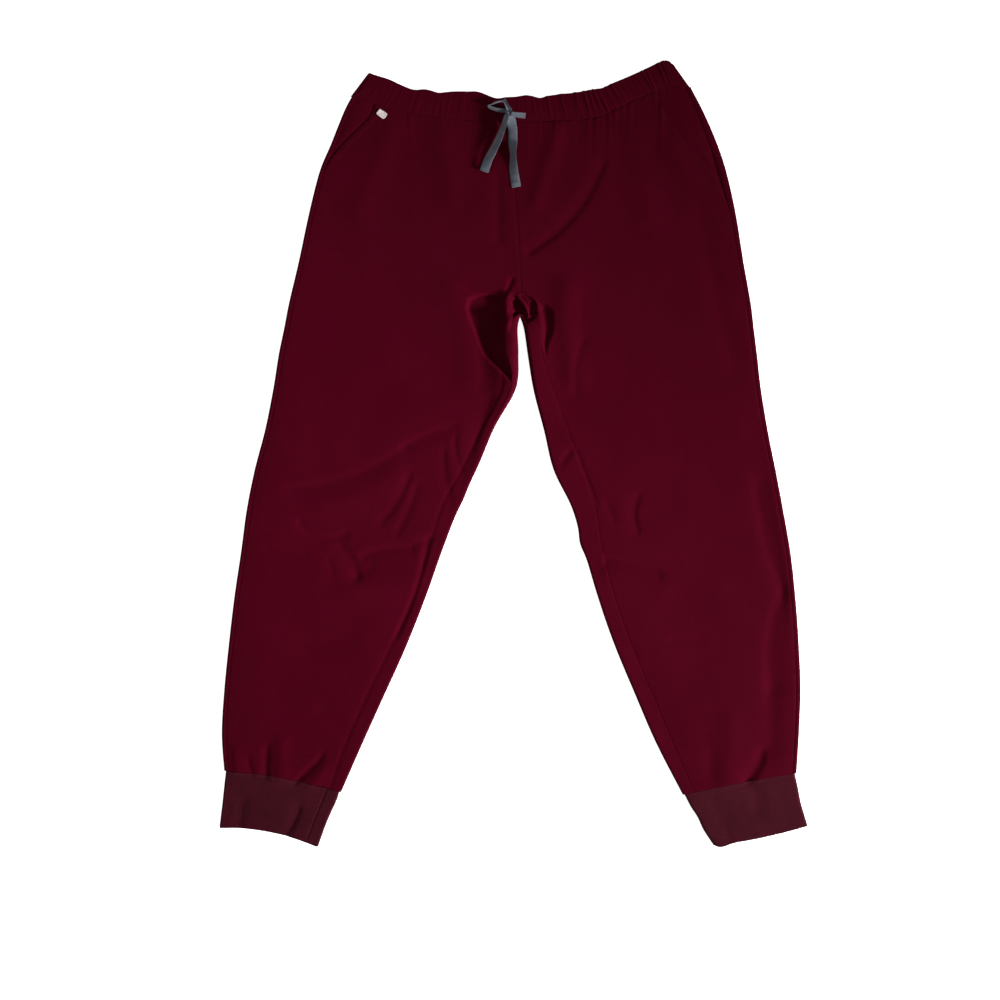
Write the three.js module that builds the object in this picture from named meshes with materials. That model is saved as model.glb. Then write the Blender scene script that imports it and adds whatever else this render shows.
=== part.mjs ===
// Medical scrub trousers in jogger style, laid flat on a surface with the front up.
// Lengths are millimetres. X runs across, Y from the cuffs to the waist, Z up from the surface.
// Right and left are the wearer's, so the right leg lies at negative X.

import * as THREE from "three";

// Walls of the cloth and gaps between the pieces
const CLOTH = 1.2;
const BAND_WALL = 2.2;
const RIB_WALL = 2;
const TAPE_WALL = 1;
const PATCH_WALL = 1.2;
const SEAM_GAP = 0.3;
const BAND_GAP = 0.6;

// Heights above the surface
const ROLL = 6;
const BODY = 6.4;
const BAND_BULGE = 0.7;
const GATHER = 1.1;
const RIB_BULGE = 0.8;
const LOWEST_TOP = 4.3;

// Distances from a rolled edge over which the cloth reaches its full height and folds begin
const BODY_RISE = 40;
const FOLD_START = 4;
const FOLD_RISE = 14;

// How finely each piece is divided
const HIP_STEPS = 10;
const LEG_STEPS = 26;
const FRONT_COLUMNS = 14;
const ROLL_STEPS = 4;
const FLOOR_COLUMNS = 5;
const INSEAM_COLUMNS = 2;
const BAND_GATHERS = 38;
const BAND_ROWS = 4;
const CUFF_COLUMNS = 10;
const CUFF_ROWS = 6;
const FACING_COLUMNS = 4;
const FACING_ROWS = 6;

const COLOURS = {
  cloth: 0x460213,
  rib: 0x42121e,
  tape: 0x555f69,
  patch: 0xc9c4c0,
};

// Each row of a leg lies across it. The outer point is on the side edge, the inner point on the
// inside edge or, above the crotch, on the centre back seam, and the seam point is where the front
// panel ends, on the centre front seam or the inseam. side and pocket are the distances from the
// side edge to the side seam and to the front panel, which the pocket opening cuts back.
const CROTCH_ROW = 6;
const RIGHT_LEG = {
  hand: -1,
  hemRise: 4.5,
  facingEnd: 2.7,
  rows: [
    { outerX: -201, outerY: 446, innerX: 1, innerY: 412, seamX: 1, seamY: 412, side: 5.5, pocket: 30 },
    { outerX: -211, outerY: 426, innerX: 1, innerY: 374, seamX: 1, seamY: 378, side: 5.5, pocket: 32 },
    { outerX: -227, outerY: 386, innerX: 2, innerY: 334, seamX: 2.5, seamY: 342, side: 5.5, pocket: 14 },
    { outerX: -241, outerY: 352, innerX: 3, innerY: 294, seamX: 4, seamY: 306, side: 5.5, pocket: 5.5 },
    { outerX: -254, outerY: 301, innerX: 5, innerY: 252, seamX: 7, seamY: 270, side: 5.5, pocket: 5.5 },
    { outerX: -267, outerY: 240, innerX: 7, innerY: 211, seamX: 9, seamY: 235, side: 5.5, pocket: 5.5 },
    { outerX: -279, outerY: 189, innerX: 9, innerY: 171, seamX: 11, seamY: 200, side: 5.5, pocket: 5.5 },
    { outerX: -285, outerY: 158, innerX: 6, innerY: 155, seamX: -10, seamY: 160, side: 5.5, pocket: 5.5 },
    { outerX: -292, outerY: 124, innerX: 7, innerY: 122, seamX: -12, seamY: 122, side: 5.5, pocket: 5.5 },
    { outerX: -299, outerY: 80, innerX: 4, innerY: 81, seamX: -15, seamY: 80, side: 5.5, pocket: 5.5 },
    { outerX: -309, outerY: 30, innerX: -22, innerY: 34, seamX: -39, seamY: 32, side: 5.5, pocket: 5.5 },
    { outerX: -322, outerY: -20, innerX: -43, innerY: -15, seamX: -62, seamY: -16, side: 5.5, pocket: 5.5 },
    { outerX: -332, outerY: -70, innerX: -66, innerY: -64, seamX: -88, seamY: -65, side: 5.5, pocket: 5.5 },
    { outerX: -339, outerY: -122, innerX: -88, innerY: -121, seamX: -106, seamY: -121, side: 5.5, pocket: 5.5 },
    { outerX: -347, outerY: -176, innerX: -109, innerY: -180, seamX: -124, seamY: -180, side: 5.5, pocket: 5.5 },
    { outerX: -354, outerY: -235, innerX: -134, innerY: -243, seamX: -153, seamY: -242, side: 5.5, pocket: 5.5 },
    { outerX: -360, outerY: -295, innerX: -162, innerY: -305, seamX: -183, seamY: -304, side: 5.5, pocket: 5.5 },
    { outerX: -363, outerY: -349, innerX: -189, innerY: -365, seamX: -209, seamY: -363, side: 5.5, pocket: 5.5 },
    { outerX: -360, outerY: -395, innerX: -214, innerY: -422, seamX: -228, seamY: -419, side: 5.5, pocket: 5.5 },
  ],
};
const LEFT_LEG = {
  hand: 1,
  hemRise: 0,
  facingEnd: 3,
  rows: [
    { outerX: 222, outerY: 456, innerX: 1, innerY: 412, seamX: 1, seamY: 412, side: 6, pocket: 44 },
    { outerX: 237, outerY: 428, innerX: 1, innerY: 374, seamX: 1, seamY: 378, side: 7, pocket: 46 },
    { outerX: 253, outerY: 392, innerX: 2, innerY: 334, seamX: 2.5, seamY: 342, side: 9, pocket: 36 },
    { outerX: 266, outerY: 354, innerX: 3, innerY: 294, seamX: 4, seamY: 306, side: 11, pocket: 17 },
    { outerX: 278, outerY: 301, innerX: 5, innerY: 252, seamX: 7, seamY: 270, side: 11, pocket: 11 },
    { outerX: 288, outerY: 239, innerX: 7, innerY: 211, seamX: 9, seamY: 235, side: 11, pocket: 11 },
    { outerX: 297, outerY: 188, innerX: 9, innerY: 171, seamX: 11, seamY: 200, side: 11, pocket: 11 },
    { outerX: 301, outerY: 155, innerX: 14, innerY: 155, seamX: 32, seamY: 160, side: 11, pocket: 11 },
    { outerX: 305, outerY: 122, innerX: 19, innerY: 121, seamX: 37, seamY: 121, side: 10, pocket: 10 },
    { outerX: 310, outerY: 79, innerX: 26, innerY: 79, seamX: 51, seamY: 79, side: 9, pocket: 9 },
    { outerX: 318, outerY: 30, innerX: 39, innerY: 29, seamX: 69, seamY: 29, side: 8, pocket: 8 },
    { outerX: 328, outerY: -20, innerX: 51, innerY: -20, seamX: 87, seamY: -20, side: 7, pocket: 7 },
    { outerX: 338, outerY: -73, innerX: 74, innerY: -68, seamX: 103, seamY: -69, side: 6, pocket: 6 },
    { outerX: 347, outerY: -126, innerX: 89, innerY: -120, seamX: 112, seamY: -121, side: 5.5, pocket: 5.5 },
    { outerX: 353, outerY: -182, innerX: 106, innerY: -178, seamX: 127, seamY: -178, side: 5.5, pocket: 5.5 },
    { outerX: 357, outerY: -239, innerX: 126, innerY: -236, seamX: 147, seamY: -236, side: 5.5, pocket: 5.5 },
    { outerX: 359, outerY: -295, innerX: 153, innerY: -301, seamX: 174, seamY: -300, side: 5.5, pocket: 5.5 },
    { outerX: 357, outerY: -351, innerX: 179, innerY: -361, seamX: 199, seamY: -360, side: 5.5, pocket: 5.5 },
    { outerX: 354, outerY: -398, innerX: 212, innerY: -425, seamX: 226, seamY: -422, side: 5.5, pocket: 5.5 },
  ],
};
const LAST_ROW = RIGHT_LEG.rows.length - 1;
const BAND_FADE_ROW = 3;
const HEM_FADE_ROWS = 3;

// The waistband from the right side to the left one, its top and bottom edges
const BAND = [
  { topX: -181, topY: 472, bottomX: -202, bottomY: 446 },
  { topX: -154, topY: 467, bottomX: -171, bottomY: 435 },
  { topX: -124, topY: 454, bottomX: -137, bottomY: 426 },
  { topX: -94, topY: 451, bottomX: -102, bottomY: 420 },
  { topX: -64, topY: 452, bottomX: -68, bottomY: 416 },
  { topX: -34, topY: 449, bottomX: -36, bottomY: 414 },
  { topX: 1, topY: 445, bottomX: 1, bottomY: 413 },
  { topX: 33, topY: 446, bottomX: 36, bottomY: 413 },
  { topX: 66, topY: 449, bottomX: 72, bottomY: 415 },
  { topX: 101, topY: 455, bottomX: 109, bottomY: 419 },
  { topX: 131, topY: 465, bottomX: 143, bottomY: 435 },
  { topX: 161, topY: 478, bottomX: 173, bottomY: 448 },
  { topX: 187, topY: 490, bottomX: 200, bottomY: 457 },
  { topX: 201, topY: 485, bottomX: 221, bottomY: 457 },
];
const BAND_SIDE = 5.5;

// Rows across each cuff below the row that it shares with the hem of the leg
const RIGHT_CUFF = [
  { outerX: -360, outerY: -414, innerX: -220, innerY: -433, rise: 3 },
  { outerX: -362, outerY: -433, innerX: -227, innerY: -448, rise: 3 },
  { outerX: -364, outerY: -450, innerX: -234, innerY: -465, rise: 4 },
  { outerX: -366, outerY: -466, innerX: -243, innerY: -490, rise: 7 },
];
const LEFT_CUFF = [
  { outerX: 356, outerY: -417, innerX: 222, innerY: -440, rise: 0 },
  { outerX: 359, outerY: -433, innerX: 231, innerY: -454, rise: 0 },
  { outerX: 363, outerY: -449, innerX: 238, innerY: -470, rise: -1 },
  { outerX: 366, outerY: -465, innerX: 249, innerY: -490, rise: -2 },
];
const CUFF_STEP_IN = 1.5;

// The largest folds, each along a line from start to end. bend moves its middle to one side, and a
// negative height is a trough.
const FOLDS = [
  { x0: -36, y0: 192, x1: -3, y1: 88, bend: -6, width: 13, height: -1.9 },
  { x0: -62, y0: 205, x1: -40, y1: 90, bend: 4, width: 16, height: 2.6 },
  { x0: -29, y0: 101, x1: -49, y1: 15, bend: -6, width: 11, height: -1.7 },
  { x0: -257, y0: -41, x1: -149, y1: 0, bend: -4, width: 12, height: -1.7 },
  { x0: -238, y0: -64, x1: -150, y1: -30, bend: -4, width: 16, height: 2.4 },
  { x0: -146, y0: 21, x1: -78, y1: 34, bend: 0, width: 12, height: -1.6 },
  { x0: -129, y0: -29, x1: -163, y1: -84, bend: 0, width: 11, height: -1.6 },
  { x0: -261, y0: -91, x1: -212, y1: -103, bend: 5, width: 11, height: -1.6 },
  { x0: -188, y0: -129, x1: -83, y1: -103, bend: -4, width: 11, height: -1.7 },
  { x0: -205, y0: -150, x1: -110, y1: -140, bend: 0, width: 16, height: 2.2 },
  { x0: -257, y0: -236, x1: -203, y1: -229, bend: 0, width: 12, height: -1.4 },
  { x0: -239, y0: -321, x1: -208, y1: -344, bend: 0, width: 14, height: -1.6 },
  { x0: -306, y0: -345, x1: -308, y1: -396, bend: 0, width: 11, height: -1.7 },
  { x0: -285, y0: -330, x1: -272, y1: -396, bend: 0, width: 13, height: 2.2 },
  { x0: 43, y0: 186, x1: 52, y1: 84, bend: 4, width: 12, height: -2 },
  { x0: 66, y0: 200, x1: 82, y1: 60, bend: -6, width: 18, height: 2.6 },
  { x0: 118, y0: -131, x1: 186, y1: -151, bend: 4, width: 12, height: -1.7 },
  { x0: 120, y0: -160, x1: 200, y1: -180, bend: 0, width: 17, height: 2 },
  { x0: 160, y0: -57, x1: 155, y1: -92, bend: 0, width: 12, height: -1.5 },
  { x0: 311, y0: -40, x1: 334, y1: -209, bend: 0, width: 12, height: -1.9 },
  { x0: 334, y0: -209, x1: 297, y1: -387, bend: 8, width: 12, height: -1.9 },
  { x0: 276, y0: -300, x1: 262, y1: -396, bend: 0, width: 15, height: 2.2 },
  { x0: 99, y0: 349, x1: 23, y1: 255, bend: 12, width: 12, height: -2 },
  { x0: 53, y0: 408, x1: 30, y1: 306, bend: 0, width: 17, height: 2.6 },
  { x0: -19, y0: 320, x1: -17, y1: 262, bend: 0, width: 11, height: -1.6 },
  { x0: -88, y0: 398, x1: -78, y1: 320, bend: 0, width: 15, height: 2 },
  { x0: 150, y0: 400, x1: 190, y1: 300, bend: 0, width: 18, height: 2.2 },
  { x0: -150, y0: 405, x1: -190, y1: 310, bend: 0, width: 18, height: 2 },
];

// The drawstring, a flat tape tied in a bow. Heights are above the cloth below it.
const TAPE_LAYERS = 4.8;
const TAPE_CLEAR = 0.5;
const BAND_TOP = 8.2;
const BAND_CLEAR = 2;
const BAND_DROP = 10;
const KNOT = { x: -5.6, y: 428.8, halfX: 8, halfY: 9.5, halfZ: 4.6, around: 16, up: 10 };
const LOOP_LONG = [
  { x: -11, y: 418.9, lift: 0, width: 6 },
  { x: -12.5, y: 407, lift: 0, width: 7 },
  { x: -17, y: 392, lift: 0, width: 9 },
  { x: -23, y: 379, lift: 0, width: 9 },
  { x: -30, y: 366, lift: 0, width: 10 },
  { x: -35, y: 353, lift: 0, width: 12 },
];
const LOOP_SHORT = [
  { x: -14.5, y: 436, lift: 0, width: 13 },
  { x: -21, y: 436, lift: 0, width: 12 },
  { x: -30, y: 434.5, lift: 0, width: 7 },
];
const TAIL_LONG = [
  { x: -2, y: 418.7, lift: 3.8, width: 8 },
  { x: -0.5, y: 407, lift: 0, width: 11 },
  { x: 0, y: 390, lift: 0, width: 11 },
  { x: 0, y: 372, lift: 0, width: 6 },
  { x: 1, y: 353, lift: 0, width: 9 },
  { x: 4.5, y: 332, lift: 0, width: 12 },
];
const TAIL_SHORT = [
  { x: 2.8, y: 426.5, lift: 3.8, width: 7 },
  { x: 9, y: 425.5, lift: 0, width: 7 },
  { x: 16, y: 424, lift: 0, width: 7 },
];
const LOOP_STEPS = 16;
const TAIL_STEPS = 12;
const TURN_STEPS = 5;

const PATCH = { x: -163, y: 423, length: 15, height: 9, turn: -0.45, corner: 2 };

// Shares of a length from 0 to 1 with soft ends
function smooth(share) {
  const u = THREE.MathUtils.clamp(share, 0, 1);
  return u * u * (3 - 2 * u);
}

// A column of a table at any place between its rows, as a smooth curve with a corner at one row
function sample(rows, column, place, corner = -1) {
  const last = rows.length - 1;
  const start = Math.min(Math.floor(place), last - 1);
  const u = place - start;
  const low = start >= corner ? Math.max(corner, 0) : 0;
  const high = start + 1 <= corner ? corner : last;
  const value = (row) => rows[THREE.MathUtils.clamp(row, low, high)][column];
  const slopeStart = (value(start + 1) - value(start - 1)) / 2;
  const slopeEnd = (value(start + 2) - value(start)) / 2;
  const square = u * u;
  const cube = square * u;
  const startShare = 2 * cube - 3 * square + 1;
  return (
    startShare * value(start) +
    (1 - startShare) * value(start + 1) +
    (cube - 2 * square + u) * slopeStart +
    (cube - square) * slopeEnd
  );
}

function outerPoint(leg, place) {
  return new THREE.Vector2(sample(leg.rows, "outerX", place), sample(leg.rows, "outerY", place));
}

function innerPoint(leg, place) {
  const x = sample(leg.rows, "innerX", place, CROTCH_ROW);
  return new THREE.Vector2(x, sample(leg.rows, "innerY", place, CROTCH_ROW));
}

function seamPoint(leg, place) {
  const x = sample(leg.rows, "seamX", place, CROTCH_ROW);
  return new THREE.Vector2(x, sample(leg.rows, "seamY", place, CROTCH_ROW));
}

// The places of a leg's rows, with one on the crotch
function legPlaces() {
  const places = [];
  for (let step = 0; step < HIP_STEPS; step++) {
    places.push((CROTCH_ROW * step) / HIP_STEPS);
  }
  for (let step = 0; step <= LEG_STEPS; step++) {
    places.push(CROTCH_ROW + ((LAST_ROW - CROTCH_ROW) * step) / LEG_STEPS);
  }
  return places;
}
const PLACES = legPlaces();

// Every rolled edge of the garment below the waistband, as lines of points
function rolledEdges() {
  const edges = [];
  for (const leg of [RIGHT_LEG, LEFT_LEG]) {
    edges.push(PLACES.map((place) => outerPoint(leg, place)));
    const below = PLACES.filter((place) => place >= CROTCH_ROW);
    edges.push(below.map((place) => innerPoint(leg, place)));
  }
  return edges;
}
const ROLLED_EDGES = rolledEdges();

function distanceToEdge(x, y) {
  let nearest = Infinity;
  for (const edge of ROLLED_EDGES) {
    for (let i = 1; i < edge.length; i++) {
      const a = edge[i - 1];
      const b = edge[i];
      const along = (x - a.x) * (b.x - a.x) + (y - a.y) * (b.y - a.y);
      const share = THREE.MathUtils.clamp(along / a.distanceToSquared(b), 0, 1);
      const dx = x - a.x - share * (b.x - a.x);
      const dy = y - a.y - share * (b.y - a.y);
      nearest = Math.min(nearest, Math.hypot(dx, dy));
    }
  }
  return nearest;
}

function foldHeight(fold, x, y) {
  const length = Math.hypot(fold.x1 - fold.x0, fold.y1 - fold.y0);
  const alongX = (fold.x1 - fold.x0) / length;
  const alongY = (fold.y1 - fold.y0) / length;
  const along = ((x - fold.x0) * alongX + (y - fold.y0) * alongY) / length;
  const middle = 4 * THREE.MathUtils.clamp(along, 0, 1) * (1 - THREE.MathUtils.clamp(along, 0, 1));
  const across = (x - fold.x0) * -alongY + (y - fold.y0) * alongX - fold.bend * middle;
  const past = Math.max(0, -along, along - 1) * length;
  return fold.height * Math.exp(-(across * across + past * past) / (fold.width * fold.width));
}

// Height of the upper surface of the cloth over any point of the plan
function topHeight(x, y) {
  const edge = distanceToEdge(x, y);
  const room = smooth((edge - FOLD_START) / FOLD_RISE);
  let height = ROLL + (BODY - ROLL) * smooth((edge - ROLL / 2) / BODY_RISE);
  for (const fold of FOLDS) {
    height += room * foldHeight(fold, x, y);
  }
  return Math.max(height, LOWEST_TOP);
}

// The place along the waistband at which its bottom edge reaches an X
function bandPlace(x) {
  let low = 0;
  let high = BAND.length - 1;
  for (let halving = 0; halving < 30; halving++) {
    const middle = (low + high) / 2;
    if (sample(BAND, "bottomX", middle) < x) {
      low = middle;
    } else {
      high = middle;
    }
  }
  return low;
}

function bandBottom(x) {
  return sample(BAND, "bottomY", bandPlace(x));
}

// Moves a point of a row so that the first rows follow the waistband and the last ones the hem
function followEnds(leg, place, point) {
  if (place < BAND_FADE_ROW) {
    const outer = outerPoint(leg, 0);
    const inner = seamPoint(leg, 0);
    const slope = (inner.y - outer.y) / (inner.x - outer.x);
    const inside = THREE.MathUtils.clamp(point.x, Math.min(outer.x, inner.x), Math.max(outer.x, inner.x));
    const line = outer.y + slope * (inside - outer.x);
    const fade = (1 - place / BAND_FADE_ROW) ** 2;
    point.y += fade * (bandBottom(inside) - BAND_GAP - line);
  }
  const hemPlace = (place - LAST_ROW + HEM_FADE_ROWS) / HEM_FADE_ROWS;
  if (hemPlace > 0) {
    const outer = outerPoint(leg, place);
    const inner = innerPoint(leg, place);
    const share = THREE.MathUtils.clamp((point.x - outer.x) / (inner.x - outer.x), 0, 1);
    point.y += hemPlace ** 2 * leg.hemRise * 4 * share * (1 - share);
  }
  return point;
}

function pointOnTop(leg, place, plan, lower = 0) {
  const at = followEnds(leg, place, plan.clone());
  return new THREE.Vector3(at.x, at.y, topHeight(at.x, at.y) - lower);
}

// Outer and inner points of a wall that lies level, built from its upper or its lower surface
function levelPair(point, wall) {
  return { outer: point, inner: point.clone().add(new THREE.Vector3(0, 0, -wall)) };
}

// The same for a wall that lies on the surface
function floorPair(plan, wall) {
  const outer = new THREE.Vector3(plan.x, plan.y, 0);
  return { outer, inner: outer.clone().setZ(wall) };
}

// The points of a roll from one angle to another about its centre line. heading is the plan
// direction in which the roll faces.
function rollPairs(centre, heading, from, to, wall, height = ROLL) {
  const pairs = [];
  const radius = height / 2;
  for (let step = 0; step <= ROLL_STEPS; step++) {
    const angle = THREE.MathUtils.lerp(from, to, step / ROLL_STEPS);
    const out = new THREE.Vector3(
      heading.x * Math.cos(angle),
      heading.y * Math.cos(angle),
      Math.sin(angle),
    );
    const middle = new THREE.Vector3(centre.x, centre.y, radius);
    pairs.push({
      outer: middle.clone().addScaledVector(out, radius),
      inner: middle.clone().addScaledVector(out, radius - wall),
    });
  }
  return pairs;
}

// One closed solid from patches, which are grids of pairs of outer and inner points. Patches join
// where their points coincide, and the free borders are closed across the wall.
function wallGeometry(patches) {
  const points = [];
  const known = new Map();
  const outerFaces = [];
  const innerOf = new Map();
  const addPoint = (point, layer) => {
    const key = [layer, ...point.toArray().map((n) => Math.round(n * 1000))].join(" ");
    if (!known.has(key)) {
      known.set(key, points.length);
      points.push(point);
    }
    return known.get(key);
  };
  const addFace = (list, a, b, c) => {
    if (a !== b && b !== c && c !== a) {
      list.push([a, b, c]);
    }
  };
  for (const patch of patches) {
    const ids = patch.map((row) =>
      row.map((pair) => {
        const outer = addPoint(pair.outer, "outer");
        innerOf.set(outer, addPoint(pair.inner, "inner"));
        return outer;
      }),
    );
    for (let i = 1; i < ids.length; i++) {
      for (let j = 1; j < ids[i].length; j++) {
        addFace(outerFaces, ids[i - 1][j - 1], ids[i][j - 1], ids[i][j]);
        addFace(outerFaces, ids[i - 1][j - 1], ids[i][j], ids[i - 1][j]);
      }
    }
  }
  const faces = [...outerFaces];
  const edges = new Set();
  for (const [a, b, c] of outerFaces) {
    faces.push([innerOf.get(a), innerOf.get(c), innerOf.get(b)]);
    edges.add(`${a} ${b}`).add(`${b} ${c}`).add(`${c} ${a}`);
  }
  for (const edge of edges) {
    const [a, b] = edge.split(" ").map(Number);
    if (!edges.has(`${b} ${a}`)) {
      faces.push([b, a, innerOf.get(a)], [b, innerOf.get(a), innerOf.get(b)]);
    }
  }
  return facingOut(points, faces);
}

// A geometry from points and faces, turned round if its faces point inwards
function facingOut(points, faces) {
  let volume = 0;
  for (const [a, b, c] of faces) {
    volume += points[a].dot(points[b].clone().cross(points[c]));
  }
  const turned = volume < 0 ? faces.map(([a, b, c]) => [a, c, b]) : faces;
  const geometry = new THREE.BufferGeometry().setFromPoints(points);
  geometry.setIndex(turned.flat());
  geometry.computeVertexNormals();
  return geometry;
}

function piece(name, geometry, colour, roughness) {
  const material = new THREE.MeshStandardMaterial({ color: colour, roughness, metalness: 0 });
  const mesh = new THREE.Mesh(geometry, material);
  mesh.name = name;
  return mesh;
}

// The direction across the inseam in plan, pointing from the front panel to the back one
function seamNormal(leg, place) {
  const step = 0.2;
  const before = seamPoint(leg, Math.max(place - step, 0));
  const after = seamPoint(leg, Math.min(place + step, LAST_ROW));
  const along = after.sub(before).normalize();
  return new THREE.Vector2(along.y * leg.hand, -along.x * leg.hand);
}

function frontEnd(leg, place) {
  return seamPoint(leg, place).addScaledVector(seamNormal(leg, place), -SEAM_GAP / 2);
}

// The distance from the side edge to the front panel
function pocketDistance(leg, place) {
  return Math.max(sample(leg.rows, "pocket", place), sample(leg.rows, "side", place));
}

function frontPanel(leg) {
  const patch = PLACES.map((place) => {
    const outer = outerPoint(leg, place);
    const inner = frontEnd(leg, place);
    const inward = inner.clone().sub(outer).normalize();
    const start = outer.addScaledVector(inward, pocketDistance(leg, place) + SEAM_GAP);
    const row = [];
    for (let column = 0; column <= FRONT_COLUMNS; column++) {
      const plan = start.clone().lerp(inner, column / FRONT_COLUMNS);
      row.push(levelPair(pointOnTop(leg, place, plan), CLOTH));
    }
    return row;
  });
  return wallGeometry([patch]);
}

// The direction in which the inside edge faces, which turns at the crotch from one leg to the other
function innerHeading(leg, place) {
  const inward = outerPoint(leg, place).sub(innerPoint(leg, place)).normalize().negate();
  const down = new THREE.Vector2(0, -1);
  return down.lerp(inward, smooth(place - CROTCH_ROW)).normalize();
}

function backPanel(leg) {
  const radius = ROLL / 2;
  const offCentre = (leg.hand * SEAM_GAP) / 2;
  const main = [];
  const strip = [];
  for (const place of PLACES) {
    const outer = outerPoint(leg, place);
    const inner = innerPoint(leg, place);
    const outward = outer.clone().sub(inner).normalize();
    const side = outer.clone().addScaledVector(outward, -sample(leg.rows, "side", place));
    const rollCentre = followEnds(leg, place, outer.clone().addScaledVector(outward, -radius));
    const row = [levelPair(pointOnTop(leg, place, side), CLOTH)];
    row.push(...rollPairs(rollCentre, outward, Math.PI / 2, -Math.PI / 2, CLOTH));
    const belowCrotch = place >= CROTCH_ROW;
    const heading = innerHeading(leg, place);
    const end = belowCrotch ? inner.clone().addScaledVector(heading, -radius) : inner.clone();
    if (place <= CROTCH_ROW) {
      end.x += offCentre;
    }
    for (let column = 1; column <= FLOOR_COLUMNS; column++) {
      const plan = outer.clone().addScaledVector(outward, -radius).lerp(end, column / FLOOR_COLUMNS);
      row.push(floorPair(followEnds(leg, place, plan), CLOTH));
    }
    main.push(row);
    if (belowCrotch) {
      strip.push(inseamRow(leg, place, followEnds(leg, place, end.clone()), end, heading));
    }
  }
  return wallGeometry([main, strip]);
}

// The part of a back panel's row that rolls over the inside edge and ends at the inseam
function inseamRow(leg, place, centre, end, heading) {
  const row = rollPairs(centre, heading, -Math.PI / 2, Math.PI / 2, CLOTH);
  const seam = seamPoint(leg, place).addScaledVector(seamNormal(leg, place), SEAM_GAP / 2);
  if (place === CROTCH_ROW) {
    seam.copy(seamPoint(leg, place));
    seam.x += (leg.hand * SEAM_GAP) / 2;
    seam.y -= SEAM_GAP;
  }
  for (let column = 1; column <= INSEAM_COLUMNS; column++) {
    const plan = end.clone().lerp(seam, column / INSEAM_COLUMNS);
    row.push(levelPair(pointOnTop(leg, place, plan), CLOTH));
  }
  return row;
}

// The side piece of a pocket, tucked under the side seam and under the edge of the front panel
function pocketFacing(leg) {
  const underSide = 2.3;
  const underFront = 8;
  const lower = CLOTH + SEAM_GAP;
  const patch = [];
  for (let step = 0; step <= FACING_ROWS; step++) {
    const place = (leg.facingEnd * step) / FACING_ROWS;
    const outer = outerPoint(leg, place);
    const inward = seamPoint(leg, place).sub(outer).normalize();
    const from = sample(leg.rows, "side", place) - underSide;
    const to = pocketDistance(leg, place) + underFront;
    const row = [];
    for (let column = 0; column <= FACING_COLUMNS; column++) {
      const distance = THREE.MathUtils.lerp(from, to, column / FACING_COLUMNS);
      const plan = outer.clone().addScaledVector(inward, distance);
      row.push(levelPair(pointOnTop(leg, place, plan, lower), CLOTH));
    }
    patch.push(row);
  }
  return wallGeometry([patch]);
}

function bandPlan(place, up) {
  const bottom = new THREE.Vector2(sample(BAND, "bottomX", place), sample(BAND, "bottomY", place));
  const top = new THREE.Vector2(sample(BAND, "topX", place), sample(BAND, "topY", place));
  return bottom.lerp(top, up);
}

// How high one gather of the elastic stands. The gathers are uneven, and fall off at the sides.
function gatherHeight(index, share) {
  const uneven = 0.7 + 0.3 * Math.sin(index * 2.3) * Math.cos(index * 0.9);
  const ends = smooth(share * 12) * smooth((1 - share) * 12);
  return index % 2 ? GATHER * uneven * ends : 0;
}

function bandFront() {
  const columns = BAND_GATHERS * 2;
  const last = BAND.length - 1;
  const patch = [];
  for (let row = 0; row <= BAND_ROWS; row++) {
    const up = row / BAND_ROWS;
    const right = bandPlan(0, up);
    const left = bandPlan(last, up);
    const rightIn = bandPlan(1, up).sub(right).normalize();
    const leftIn = bandPlan(last - 1, up).sub(left).normalize();
    right.addScaledVector(rightIn, BAND_SIDE + SEAM_GAP);
    left.addScaledVector(leftIn, BAND_SIDE + SEAM_GAP);
    const line = [];
    for (let column = 0; column <= columns; column++) {
      const share = column / columns;
      let plan = bandPlan(last * share, up);
      if (column === 0) {
        plan = right;
      }
      if (column === columns) {
        plan = left;
      }
      const arch = Math.sin(Math.PI * up);
      const height = ROLL + BAND_BULGE * arch + gatherHeight(column, share) * (0.5 + 0.5 * arch);
      line.push(levelPair(new THREE.Vector3(plan.x, plan.y, height), BAND_WALL));
    }
    patch.push(line.filter((pair, column) => column === 0 || column === columns || insideBand(pair, right, left)));
  }
  return wallGeometry([patch]);
}

function insideBand(pair, right, left) {
  const clear = 1;
  return pair.outer.x > right.x + clear && pair.outer.x < left.x - clear;
}

// The places at which the back panels have the points of their top edges
function bandBackPlaces() {
  const places = [];
  for (const leg of [RIGHT_LEG, LEFT_LEG]) {
    const outer = outerPoint(leg, 0);
    const inner = innerPoint(leg, 0);
    outer.addScaledVector(inner.clone().sub(outer).normalize(), ROLL / 2);
    for (let column = 1; column < FLOOR_COLUMNS; column++) {
      places.push(bandPlace(outer.clone().lerp(inner, column / FLOOR_COLUMNS).x));
    }
  }
  places.push(bandPlace(innerPoint(RIGHT_LEG, 0).x));
  return places.sort((a, b) => a - b);
}

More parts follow.
